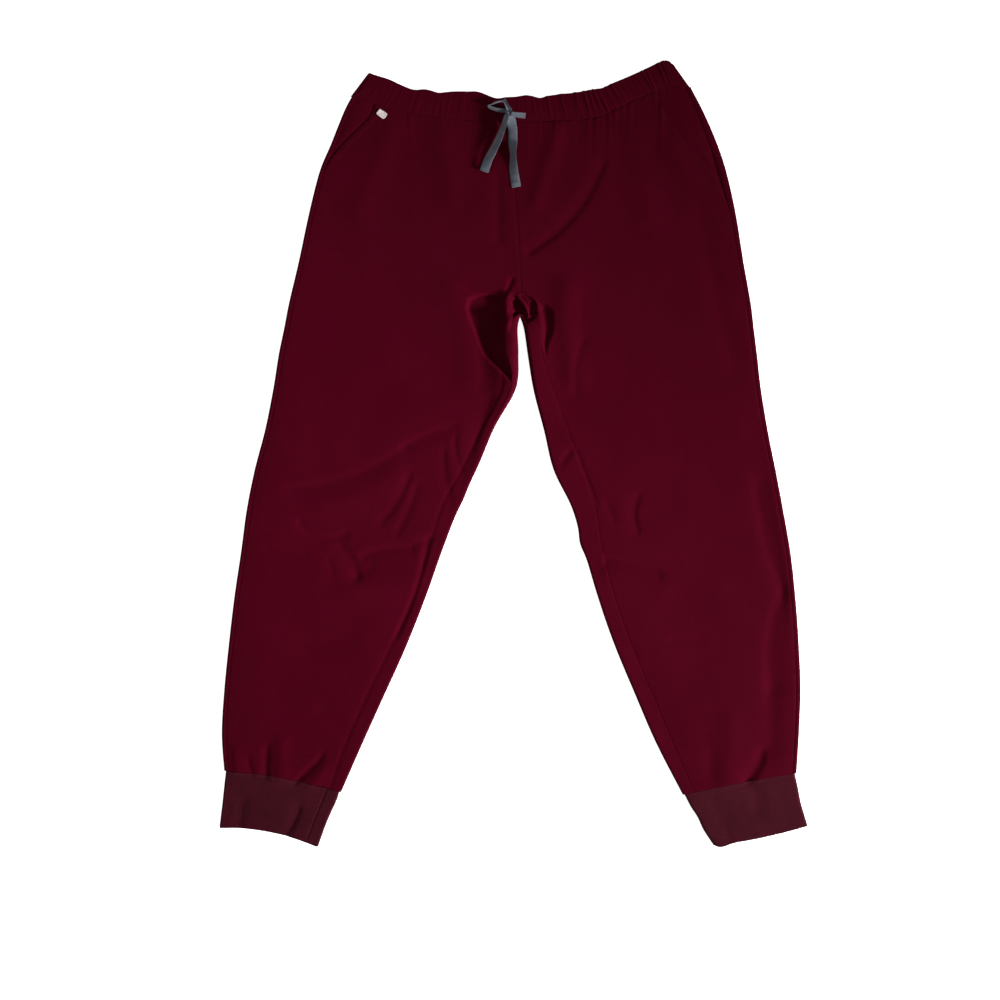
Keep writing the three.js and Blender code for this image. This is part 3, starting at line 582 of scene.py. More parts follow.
@dataclass(frozen=True)
class Hollow:
    """A hollow between folds, with a crisp outline whose corners are in millimetres."""

    depth: float
    edge: float
    corners: tuple[tuple[float, float], ...]

    def height(self, plan: Array) -> Array:
        """Give its height, which is below 0 inside it.

        Args:
            plan: Points in X and Y.

        Returns:
            Heights in metres.
        """
        points = np.array(self.corners) * MM
        inside = np.zeros(plan.shape[:-1], dtype=bool)
        nearest = np.full(plan.shape[:-1], np.inf)
        for start, end in zip(points, np.roll(points, -1, axis=0)):
            reach = end - start
            share = np.clip(((plan - start) @ reach) / (reach @ reach), 0, 1)
            gap = plan - start - share[..., None] * reach
            nearest = np.minimum(nearest, np.hypot(gap[..., 0], gap[..., 1]))
            spans = (start[1] > plan[..., 1]) != (end[1] > plan[..., 1])
            slant = reach[0] / reach[1] if reach[1] else 0.0
            inside ^= spans & (plan[..., 0] < start[0] + (plan[..., 1] - start[1]) * slant)
        return -self.depth * MM * smooth(np.where(inside, nearest, 0) / (self.edge * MM))


HOLLOWS = (
    Hollow(
        9.5,
        9.0,
        (
            (-57, 194), (-46, 200), (-30, 201), (-15, 197), (-9, 187), (-11, 172), (-12, 153),
            (-11, 137), (-8, 125), (-3, 111), (4, 92), (6, 82), (-5, 90), (-16, 100), (-27, 110),
            (-37, 121), (-43, 136), (-49, 152), (-56, 168), (-59, 181),
        ),
    ),
    Hollow(
        4.4,
        8.0,
        (
            (31, 190), (41, 189), (51, 181), (53, 168), (52, 152), (46, 136), (41, 114),
            (35, 136), (34, 157), (32, 176),
        ),
    ),
    Hollow(
        2.6,
        2.2,
        (
            (-2, 190), (4, 198), (14, 200.5), (25, 195), (30.5, 188), (30.5, 176), (27, 167),
            (14, 160), (4, 164), (0, 176),
        ),
    ),
    Hollow(10, 1.5, ((-1, 191), (6, 191), (12.5, 186), (13, 167), (5, 167), (2, 178))),
    Hollow(8, 1.4, ((20.5, 188.5), (28, 189.5), (26.5, 181), (20, 171))),
)


@dataclass(frozen=True)
class Drape:
    """The height of the cloth over the plan, with its folds, creases and unevenness."""

    outline: Outline = Outline()
    folds: tuple[tuple[float, ...], ...] = MAIN_FOLDS
    hollows: tuple[Hollow, ...] = HOLLOWS
    body: float = 6.4 * MM
    body_rise: float = 40 * MM
    fold_start: float = 4 * MM
    fold_rise: float = 14 * MM
    roll_margin: float = 1 * MM
    free_rise: float = 2 * MM
    lowest: float = 2.2 * MM
    seed: int = 7
    lattice_size: int = 64
    layers: tuple[tuple[float, float, float], ...] = (
        (80, 170, 0.6),
        (38, 70, 0.16),
        (14, 24, 0.04),
    )

    def fold_height(self, row: tuple[float, ...], plan: Array) -> Array:
        """Give the height of one fold.

        Args:
            row: The fold's row of the table.
            plan: Points in X and Y.

        Returns:
            Heights in metres, below 0 in a trough.
        """
        fold = dict(zip(FOLD_COLUMNS, row))
        start = np.array([fold["x0"], fold["y0"]]) * MM
        end = np.array([fold["x1"], fold["y1"]]) * MM
        length = float(np.linalg.norm(end - start))
        ahead = (end - start) / length
        sideways = np.array([-ahead[1], ahead[0]])
        along = ((plan - start) @ ahead) / length
        held = np.clip(along, 0, 1)
        across = (plan - start) @ sideways - fold["bend"] * MM * 4 * held * (1 - held)
        width = fold["width"] * MM
        across = across * (1 + fold["lean"] * np.tanh(across / width))
        past = np.maximum(0, np.maximum(-along, along - 1)) * length
        return fold["height"] * MM * bell(np.hypot(across, past), width)

    def rumple(self, plan: Array) -> Array:
        """Give the soft unevenness of the lying cloth.

        Args:
            plan: Points in X and Y.

        Returns:
            Heights in metres above and below 0.
        """
        size = self.lattice_size
        chance = np.random.default_rng(self.seed)
        height = np.zeros(plan.shape[:-1])
        for across, along, high in self.layers:
            lattice = chance.uniform(-1, 1, (size, size))
            cells = plan / (np.array([across, along]) * MM) + size / 2
            corner = np.floor(cells).astype(int)
            share = smooth(cells - corner)
            values = 0.0
            for step_x in (0, 1):
                for step_y in (0, 1):
                    weight_x = share[..., 0] if step_x else 1 - share[..., 0]
                    weight_y = share[..., 1] if step_y else 1 - share[..., 1]
                    column, row = (corner[..., 0] + step_x) % size, (corner[..., 1] + step_y) % size
                    values = values + weight_x * weight_y * lattice[column, row]
            height = height + values * high * MM
        return height

    def top(self, plan: Array) -> Array:
        """Give the height of the upper surface of the cloth.

        Args:
            plan: Points in X and Y.

        Returns:
            Heights in metres.
        """
        edge, roll = self.outline.nearest_edge(plan)
        start = np.maximum(self.fold_start, roll / 2 + self.roll_margin)
        room = smooth((edge - start) / self.fold_rise)
        near = smooth((edge - roll / 2) / self.free_rise)
        height = roll + (self.body - roll) * smooth((edge - roll / 2) / self.body_rise)
        height = height + room * self.rumple(plan)
        for row in self.folds:
            free = row[FOLD_COLUMNS.index("free")]
            height = height + (near if free else room) * self.fold_height(row, plan)
        for hollow in self.hollows:
            height = height + near * hollow.height(plan)
        return np.maximum(height, self.lowest)


@dataclass(frozen=True)
class Gathers:
    """The uneven gathers of the elastic, which run on as puckers in the cloth below it.

    They are low up to the share full_from of the band and at their full height a share
    full_over further on, on the wearer's left.
    """

    band: BandCut = BandCut()
    count: int = 58
    seed: int = 12
    high: float = 1.75 * MM
    narrow: float = 0.0034
    seam_dip: float = 0.2
    reach_up: float = 0.5
    ends: float = 0.06
    pucker: float = 1.6 * MM
    shortest: float = 8 * MM
    longest: float = 42 * MM
    widening: float = 30 * MM
    jitter: float = 0.35
    lean: float = 0.004
    lowest: float = 0.15
    low_share: float = 0.28
    full_share: float = 0.98
    full_from: float = 0.48
    full_over: float = 0.18

    def ridges(self) -> tuple[Array, Array, Array, Array, Array]:
        """Give each gather's place, height, lean, reach down into the cloth and middle on the band."""
        chance = np.random.default_rng(self.seed)
        moved = chance.uniform(-self.jitter, self.jitter, self.count)
        places = (np.arange(self.count) + 0.5 + moved) / self.count
        share = smooth((places - self.full_from) / self.full_over)
        share = self.low_share + (self.full_share - self.low_share) * share
        heights = chance.uniform(self.lowest, 1.0, self.count) * share
        leans = chance.uniform(-self.lean, self.lean, self.count)
        reaches = chance.uniform(0, 1, self.count) ** 2
        return places, heights, leans, reaches, chance.uniform(0.15, 0.95, self.count)

    def on_band(self, share: Array, up: Array) -> Array:
        """Give the height of the gathers on the band.

        Args:
            share: Shares of the band's length from the right side.
            up: Shares of its height.

        Returns:
            Heights from 0 to about 1.
        """
        total = np.zeros(np.broadcast(share, up).shape)
        for place, height, lean, _, middle in zip(*self.ridges()):
            offset = np.abs(share - place - lean * (up - 0.5) * 2)
            tall = height * (0.25 + 0.75 * bell(up - middle, self.reach_up))
            total = total + tall * np.exp(-((offset / self.narrow) ** 1.5))
        return total * smooth(share / self.ends) * smooth((1 - share) / self.ends)

    def below_band(self, plan: Array) -> Array:
        """Give the height of the puckers in the cloth below the band.

        Args:
            plan: Points in X and Y.

        Returns:
            Heights in metres.
        """
        share = self.band.place_over(plan[..., 0]) / self.band.edges.last
        below = np.maximum(self.band.bottom(plan[..., 0]) - plan[..., 1], 0)
        total = -self.seam_dip * np.exp(-below / self.shortest)
        for place, height, lean, reach, _ in zip(*self.ridges()):
            spread = self.narrow * (1 + below / self.widening)
            offset = share - place + lean
            fall = np.exp(-below / (self.shortest + reach * (self.longest - self.shortest)))
            total = total + height * bell(offset, spread) * fall
        return total * self.pucker * smooth(share / self.ends) * smooth((1 - share) / self.ends)


@dataclass
class Wall:
    """A grid of points on the outer face of a piece and the points behind them."""

    outer: Array
    inner: Array

    def cut(self) -> tuple[float, float, float]:
        """Give the width, the length and the area of the piece laid out flat."""
        across = np.linalg.norm(np.diff(self.outer, axis=1), axis=2)
        along = np.linalg.norm(np.diff(self.outer, axis=0), axis=2)
        first = self.outer[1:, 1:] - self.outer[:-1, :-1]
        second = self.outer[1:, :-1] - self.outer[:-1, 1:]
        area = np.linalg.norm(np.cross(first, second), axis=2).sum() / 2
        return float(across.sum(axis=1).max()), float(along.sum(axis=0).max()), float(area)


def level_wall(top: Array, thickness: Array | float) -> Wall:
    """Make a wall that hangs straight down from its upper face."""
    drop = np.zeros_like(top)
    drop[..., 2] = thickness
    return Wall(top, top - drop)


def floor_wall(plan: Array, thickness: float) -> Wall:
    """Make a wall that lies on the surface."""
    return Wall(raised(plan, 0.0), raised(plan, thickness))


def rolled_wall(
    centre: Array,
    heading: Array,
    start: float,
    end: float,
    steps: int,
    thickness: float,
    height: Array | float,
) -> Wall:
    """Roll a wall round the edge of the garment.

    Args:
        centre: Points of the plan under the roll's centre line, one a row.
        heading: The direction in which the roll faces, one a row.
        start: First angle above the level.
        end: Last angle above the level.
        steps: Number of steps round the roll.
        thickness: Thickness of the wall.
        height: Height of the roll above the surface.

    Returns:
        The wall, with a row for each point of the centre line.
    """
    angles = np.linspace(start, end, steps + 1)
    radius = np.broadcast_to(height, centre.shape[:-1]) / 2
    out = raised(heading[:, None, :] * np.cos(angles)[None, :, None], np.sin(angles)[None, :])
    middle = raised(centre, radius)[:, None, :]
    wide = radius[:, None, None]
    return Wall(middle + out * wide, middle + out * np.maximum(wide - thickness, 0.2 * MM))


def beside(walls: list[Wall]) -> Wall:
    """Join walls side by side, each starting where the one before it ends."""
    outer = [walls[0].outer] + [wall.outer[:, 1:] for wall in walls[1:]]
    inner = [walls[0].inner] + [wall.inner[:, 1:] for wall in walls[1:]]
    return Wall(np.concatenate(outer, axis=1), np.concatenate(inner, axis=1))


def edge_fullness(distance: Array, radius: float) -> Array:
    """Give how full a wall is near a soft folded edge, from about a third to 1."""
    share = np.clip(distance / radius, 0, 1)
    return 0.3 + 0.7 * np.sqrt(np.clip(1 - (1 - share) ** 2, 0, 1))


def soften(wall: Wall, distance: Array, radius: float) -> Wall:
    """Round a wall towards an edge.

    Args:
        wall: The wall.
        distance: The distance of each of its points from the edge.
        radius: How far from the edge the rounding starts.

    Returns:
        The rounded wall.
    """
    middle = (wall.outer + wall.inner) / 2
    full = edge_fullness(distance, radius)[..., None]
    return Wall(middle + (wall.outer - middle) * full, middle + (wall.inner - middle) * full)


def closed_mesh(name: str, walls: list[Wall], crease: float = 50) -> bpy.types.Object:
    """Make one closed mesh from walls that join where their points coincide.

    Args:
        name: Name of the object.
        walls: The walls.
        crease: Angle in degrees above which an edge is sharp.

    Returns:
        The object.
    """
    outer = np.concatenate([wall.outer.reshape(-1, 3) for wall in walls])
    inner = np.concatenate([wall.inner.reshape(-1, 3) for wall in walls])
    keys = np.round(outer / (0.01 * MM)).astype(np.int64)
    _, first, ids = np.unique(keys, axis=0, return_index=True, return_inverse=True)
    ids = ids.reshape(-1)
    quads = []
    start = 0
    for wall in walls:
        rows, columns = wall.outer.shape[:2]
        grid = ids[start : start + rows * columns].reshape(rows, columns)
        start += rows * columns
        corners = (grid[:-1, :-1], grid[1:, :-1], grid[1:, 1:], grid[:-1, 1:])
        quads.append(np.stack(corners, axis=-1).reshape(-1, 4))
    faces = np.concatenate(quads)
    count = len(first)
    begin = faces.reshape(-1)
    finish = np.roll(faces, -1, axis=1).reshape(-1)
    free = ~np.isin(begin * count + finish, finish * count + begin)
    begin, finish = begin[free], finish[free]
    border = np.stack([finish, begin, begin + count, finish + count], axis=-1)
    points = np.concatenate([outer[first], inner[first]])
    every = np.concatenate([faces, faces[:, ::-1] + count, border])
    return mesh_object(name, points, every, crease)


def mesh_object(name: str, points: Array, faces: Array, crease: float) -> bpy.types.Object:
    """Make an object from points and faces, turned so that its faces point outwards.

    Args:
        name: Name of the object.
        points: The points.
        faces: Rows of four point numbers.
        crease: Angle in degrees above which an edge is sharp.

    Returns:
        The object, in the scene.
    """
    a, b, c, d = (points[faces[:, corner]] for corner in range(4))
    volume = (a * np.cross(b, c)).sum() + (a * np.cross(c, d)).sum()
    turned = faces if volume > 0 else faces[:, ::-1]
    mesh = bpy.data.meshes.new(name)
    mesh.from_pydata(points.tolist(), [], [list(dict.fromkeys(face)) for face in turned.tolist()])
    mesh.validate()
    mesh.shade_smooth()
    mesh.set_sharp_from_angle(angle=math.radians(crease))
    made = bpy.data.objects.new(name, mesh)
    bpy.context.scene.collection.objects.link(made)
    return made


@dataclass(frozen=True)
class Stitching:
    """Rows of single thread stitches that lie on the cloth."""

    length: float = 2.3 * MM
    pitch: float = 3.0 * MM
    radius: float = 0.24 * MM
    sides: int = 6

    def sew(self, name: str, lines: list[Array]) -> bpy.types.Object:
        """Sew along lines.

        Args:
            name: Name of the object.
            lines: Lines of points on the upper face of the cloth.

        Returns:
            One object with every stitch.
        """
        centres, heads = [], []
        for line in lines:
            reached = run_length(line)
            middles = np.arange(self.pitch / 2, reached[-1] - self.length / 2, self.pitch)
            ends = []
            for shift in (-self.length / 2, self.length / 2):
                at = middles + shift
                ends.append(np.stack([np.interp(at, reached, line[:, axis]) for axis in range(3)], axis=1))
            centres.append((ends[0] + ends[1]) / 2)
            heads.append((ends[1] - ends[0]) / 2)
        middle, ahead = np.concatenate(centres), np.concatenate(heads)
        sideways = unit(np.cross(ahead, np.array([0.0, 0.0, 1.0])))
        upward = unit(np.cross(sideways, ahead))
        rings = ((-1.0, 0.3, -0.5), (-0.62, 1.0, 0.35), (0.62, 1.0, 0.35), (1.0, 0.3, -0.5))
        turn = np.arange(self.sides) * math.tau / self.sides
        points = []
        for along, full, lift in rings:
            for angle in turn:
                side = sideways * math.cos(angle) * full * self.radius
                rise = upward * (math.sin(angle) * full * 0.8 + lift) * self.radius
                points.append(middle + ahead * along + side + rise)
        each = len(rings) * self.sides
        grid = np.arange(each).reshape(len(rings), self.sides)
        around = np.roll(grid, -1, axis=1)
        faces = np.stack([grid[:-1], grid[1:], around[1:], around[:-1]], axis=-1).reshape(-1, 4)
        ends = (grid[0, ::-1], grid[-1])
        caps = [ring[corners] for ring in ends for corners in ([0, 1, 2, 3], [0, 3, 4, 5])]
        faces = np.concatenate([faces, np.array(caps)])
        number = np.arange(len(middle))[:, None, None] * each
        every = (faces[None] + number).reshape(-1, 4)
        return mesh_object(name, np.stack(points, axis=1).reshape(-1, 3), every, 80)


class Signal:
    """A value that varies over a surface, which arithmetic turns into nodes."""

    def __init__(self, recipe: "Recipe", socket: bpy.types.NodeSocket) -> None:
        """Keep the recipe and the socket that the value comes from."""
        self.recipe = recipe
        self.socket = socket

    def reckon(self, operation: str, first: "Signal | float", second: "Signal | float" = 0.0) -> "Signal":
        """Add one Math node.

        Args:
            operation: The node's operation.
            first: Its first value.
            second: Its second value.

        Returns:
            The result.
        """
        node = self.recipe.node("ShaderNodeMath", {"operation": operation}, {0: first, 1: second})
        return Signal(self.recipe, node.outputs[0])

    def __add__(self, other: "Signal | float") -> "Signal":
        """Add a value."""
        return self.reckon("ADD", self, other)

    __radd__ = __add__

    def __sub__(self, other: "Signal | float") -> "Signal":
        """Take a value away."""
        return self.reckon("SUBTRACT", self, other)

    def __rsub__(self, other: "Signal | float") -> "Signal":
        """Take this away from a value."""
        return self.reckon("SUBTRACT", other, self)

    def __mul__(self, other: "Signal | float") -> "Signal":
        """Multiply by a value."""
        return self.reckon("MULTIPLY", self, other)

    __rmul__ = __mul__

    def sine(self) -> "Signal":
        """Give the sine."""
        return self.reckon("SINE", self)

    def size(self) -> "Signal":
        """Give the value without its sign."""
        return self.reckon("ABSOLUTE", self)


Colour = tuple[float, float, float, float]


class Recipe:
    """A material under construction, with one method that adds any node."""

    def __init__(self, name: str, constants: dict[str, float | Colour]) -> None:
        """Start a material.

        Args:
            name: Name of the material.
            constants: Values that are set on the shader's own sockets.
        """
        self.material = bpy.data.materials.new(name)
        self.material.use_nodes = True
        self.tree = self.material.node_tree
        self.tree.nodes.clear()
        self.shader = self.node("ShaderNodeBsdfPrincipled", {}, constants)
        self.node("ShaderNodeOutputMaterial", {}, {"Surface": self.shader.outputs["BSDF"]})
        self.place = self.node("ShaderNodeTexCoord", {}, {}).outputs["Object"]

    def node(self, kind: str, settings: dict[str, object], inputs: dict[str | int, object]) -> bpy.types.Node:
        """Add a node.

        Args:
            kind: The node's type.
            settings: Its own settings, which are set first.
            inputs: A value or a link for each socket that is used.

        Returns:
            The node.
        """
        made = self.tree.nodes.new(kind)
        for key, value in settings.items():
            setattr(made, key, value)
        for key, value in inputs.items():
            source = value.socket if isinstance(value, Signal) else value
            if isinstance(source, bpy.types.NodeSocket):
                self.tree.links.new(source, made.inputs[key])
            else:
                made.inputs[key].default_value = source
        return made

    def axis(self, name: str) -> Signal:
        """Give one coordinate of the object in metres."""
        return Signal(self, self.node("ShaderNodeSeparateXYZ", {}, {0: self.place}).outputs[name])

    def stretched(self, across: float, along: float, up: float) -> bpy.types.NodeSocket:
        """Give the object's coordinates multiplied by a number on each axis."""
        inputs = {0: self.place, 1: (across, along, up)}
        return self.node("ShaderNodeVectorMath", {"operation": "MULTIPLY"}, inputs).outputs[0]

    def noise(self, where: bpy.types.NodeSocket, scale: float, detail: float = 2.0) -> Signal:
        """Give noise from 0 to 1.

        Args:
            where: Coordinates.
            scale: Spots a metre of them.
            detail: Number of finer layers.

        Returns:
            The noise.
        """
        inputs = {"Vector": where, "Scale": scale, "Detail": detail}
        return Signal(self, self.node("ShaderNodeTexNoise", {}, inputs).outputs["Fac"])

    def ramp(self, value: Signal, low: float, high: float) -> Signal:
        """Stretch a range of a value to 0 to 1, with both ends held."""
        inputs = {"Value": value, "From Min": low, "From Max": high}
        node = self.node("ShaderNodeMapRange", {"interpolation_type": "SMOOTHSTEP"}, inputs)
        return Signal(self, node.outputs["Result"])

    def blend(self, share: Signal, first: object, second: object) -> bpy.types.NodeSocket:
        """Mix two colours.

        Args:
            share: Share of the second colour.
            first: A colour or a link to one.
            second: A colour or a link to one.

        Returns:
            The mixed colour.
        """
        node = self.node("ShaderNodeMix", {"data_type": "RGBA"}, {0: share, 6: first, 7: second})
        return node.outputs[2]

    def feed(self, name: str, source: object) -> None:
        """Link a colour or a value to a socket of the shader."""
        socket = source.socket if isinstance(source, Signal) else source
        self.tree.links.new(socket, self.shader.inputs[name])

    def bump(self, height: Signal, distance: float, strength: float = 1.0) -> None:
        """Feed the shader's normal with a height.

        Args:
            height: Heights from 0 to 1.
            distance: The depth in metres that 1 stands for.
            strength: Share of the effect.
        """
        inputs = {"Height": height, "Distance": distance, "Strength": strength}
        self.feed("Normal", self.node("ShaderNodeBump", {}, inputs).outputs["Normal"])


@dataclass(frozen=True)
class TwillCloth:
    """Matt stretch twill, dyed wine red, with fine diagonal lines and slight crushing."""

    name: str = "wine_twill"
    dark: Colour = (0.0366, 0.0001, 0.0038, 1.0)
    light: Colour = (0.0412, 0.0002, 0.0047, 1.0)
    sheen_tint: Colour = (0.5, 0.02, 0.08, 1.0)
    sheen: float = 0.03
    line: float = 0.75 * MM
    steepness: float = 1.35
    depth: float = 0.09 * MM

    def make(self) -> bpy.types.Material:
        """Make the material."""
        recipe = Recipe(
            self.name,
            {
                "Roughness": 0.9,
                "Specular IOR Level": 0.02,
                "Sheen Weight": self.sheen,
                "Sheen Roughness": 0.5,
                "Sheen Tint": self.sheen_tint,
            },
        )
        across, along, up = (recipe.axis(name) for name in "XYZ")
        turn = math.tau / self.line
        lines = ((across + along * self.steepness + up) * turn).sine()
        yarn = ((along - across * 0.4 + up) * (turn * 1.9)).sine()
        worn = recipe.noise(recipe.stretched(1, 0.8, 1), 18, 3)
        slub = recipe.noise(recipe.stretched(1, 0.25, 1), 900, 2)
        crushed = recipe.noise(recipe.stretched(1.3, 0.8, 1), 130, 4)
        share = recipe.ramp(worn * 0.6 + slub * 0.4 + lines * 0.03, 0.36, 0.66)
        recipe.feed("Base Color", recipe.blend(share, self.dark, self.light))
        recipe.feed("Roughness", 0.82 + slub * 0.16)
        weave = lines * 0.3 + yarn * 0.12 + slub * 0.35 + crushed * 2.4
        recipe.bump(weave, self.depth, 0.9)
        return recipe.material


@dataclass(frozen=True)
class RibKnit:
    """Rib knit in the cloth's colour, a little greyer and softer."""

    name: str = "wine_rib"
    dark: Colour = (0.023, 0.0009, 0.0037, 1.0)
    light: Colour = (0.035, 0.0018, 0.0058, 1.0)
    sheen_tint: Colour = (0.6, 0.2, 0.25, 1.0)
    stitch: float = 1.5 * MM
    depth: float = 0.16 * MM

    def make(self) -> bpy.types.Material:
        """Make the material."""
        recipe = Recipe(
            self.name,
            {
                "Roughness": 0.95,
                "Specular IOR Level": 0.04,
                "Sheen Weight": 0.1,
                "Sheen Roughness": 0.6,
                "Sheen Tint": self.sheen_tint,
            },
        )
        across, along = recipe.axis("X"), recipe.axis("Y")
        turn = math.tau / self.stitch
        zigzag = (across * (turn * 0.7)).sine().size()
        loops = ((along + zigzag * (0.5 * MM)) * turn).sine()
        fibre = recipe.noise(recipe.stretched(1, 0.5, 1), 1400, 3)
        worn = recipe.noise(recipe.place, 60, 3)
        share = recipe.ramp(fibre * 0.5 + worn * 0.4 + loops * 0.08, 0.3, 0.68)
        recipe.feed("Base Color", recipe.blend(share, self.dark, self.light))
        recipe.bump(loops * 0.5 + fibre * 0.8, self.depth, 0.9)
        return recipe.material


@dataclass(frozen=True)
class WovenTape:
    """Flat slate grey tape with a herringbone weave."""

    name: str = "slate_tape"
    dark: Colour = (0.058, 0.066, 0.083, 1.0)
    light: Colour = (0.09, 0.099, 0.12, 1.0)
    rib: float = 0.9 * MM
    depth: float = 0.12 * MM

    def make(self) -> bpy.types.Material:
        """Make the material."""
        recipe = Recipe(self.name, {"Roughness": 0.85, "Specular IOR Level": 0.25, "Sheen Weight": 0.1})
        across, along, up = (recipe.axis(name) for name in "XYZ")
        turn = math.tau / self.rib
        bars = ((along + up) * turn).sine()
        slant = ((across + along) * (turn * 0.8)).sine()
        fibre = recipe.noise(recipe.place, 1500, 2)
        worn = recipe.noise(recipe.place, 120, 3)
        share = recipe.ramp(fibre * 0.4 + worn * 0.6 + bars * 0.05, 0.34, 0.66)
        recipe.feed("Base Color", recipe.blend(share, self.dark, self.light))
        recipe.bump(bars * 0.4 + slant * 0.3 + fibre * 0.6, self.depth, 0.9)
        return recipe.material


@dataclass(frozen=True)
class SewingThread:
    """Twisted thread in one colour."""

    name: str
    dark: Colour
    light: Colour
    twist: float = 0.5 * MM

    def make(self) -> bpy.types.Material:
        """Make the material."""
        recipe = Recipe(self.name, {"Roughness": 0.8, "Specular IOR Level": 0.08})
        across, along = recipe.axis("X"), recipe.axis("Y")
        plies = ((across + along) * (math.tau / self.twist)).sine()
        fibre = recipe.noise(recipe.place, 1800, 2)
        share = recipe.ramp(fibre + plies * 0.15, 0.3, 0.7)
        recipe.feed("Base Color", recipe.blend(share, self.dark, self.light))
        recipe.bump(plies * 0.5 + fibre * 0.4, 0.06 * MM)
        return recipe.material


@dataclass(frozen=True)
class PaleWeave:
    """Close pale weave of the small plain oblong."""

    name: str = "pale_weave"
    dark: Colour = (0.4, 0.345, 0.34, 1.0)
    light: Colour = (0.6, 0.52, 0.51, 1.0)
    yarn: float = 0.55 * MM

    def make(self) -> bpy.types.Material:
        """Make the material."""
        recipe = Recipe(self.name, {"Roughness": 0.75, "Specular IOR Level": 0.2, "Sheen Weight": 0.1})
        across, along = recipe.axis("X"), recipe.axis("Y")
        turn = math.tau / self.yarn
        basket = (across * turn).sine() * (along * turn).sine()
        fibre = recipe.noise(recipe.place, 1600, 2)
        share = recipe.ramp(fibre + basket * 0.1, 0.3, 0.7)
        recipe.feed("Base Color", recipe.blend(share, self.dark, self.light))
        recipe.bump(basket * 0.5 + fibre * 0.4, 0.08 * MM)
        return recipe.material


@dataclass(frozen=True)
class PaleFloor:
    """Matt near-white floor."""

    name: str = "pale_floor"
    dark: Colour = (0.86, 0.86, 0.86, 1.0)
    light: Colour = (0.9, 0.9, 0.9, 1.0)
    glow: float = 0.82

    def make(self) -> bpy.types.Material:
        """Make the material."""
        glow = {"Emission Color": (1.0, 1.0, 1.0, 1.0), "Emission Strength": self.glow}
        recipe = Recipe(self.name, {"Roughness": 0.9, "Specular IOR Level": 0.1, **glow})
        share = recipe.ramp(recipe.noise(recipe.place, 3, 2), 0.3, 0.7)
        recipe.feed("Base Color", recipe.blend(share, self.dark, self.light))
        return recipe.material


@dataclass
class Wardrobe:
    """The finishes, each made once."""

    cloth: bpy.types.Material = field(default_factory=lambda: TwillCloth().make())
    rib: bpy.types.Material = field(default_factory=lambda: RibKnit().make())
    tape: bpy.types.Material = field(default_factory=lambda: WovenTape().make())
    pale: bpy.types.Material = field(default_factory=lambda: PaleWeave().make())
    thread: bpy.types.Material = field(
        default_factory=lambda: SewingThread(
            "wine_thread", (0.03, 0.0003, 0.0038, 1.0), (0.044, 0.0006, 0.006, 1.0)
        ).make()
    )
    tape_thread: bpy.types.Material = field(
        default_factory=lambda: SewingThread(
            "slate_thread", (0.05, 0.055, 0.07, 1.0), (0.085, 0.092, 0.11, 1.0)
        ).make()
    )

    def dress(self, piece: bpy.types.Object, finish: bpy.types.Material) -> bpy.types.Object:
        """Give a piece its finish and the body that it rides on.

        Args:
            piece: The piece.
            finish: Its material.

        Returns:
            The piece.
        """
        piece.data.materials.append(finish)
        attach(piece, BODY_NAME)
        LOG.info("%s: %d faces", piece.name, len(piece.data.polygons))
        return piece


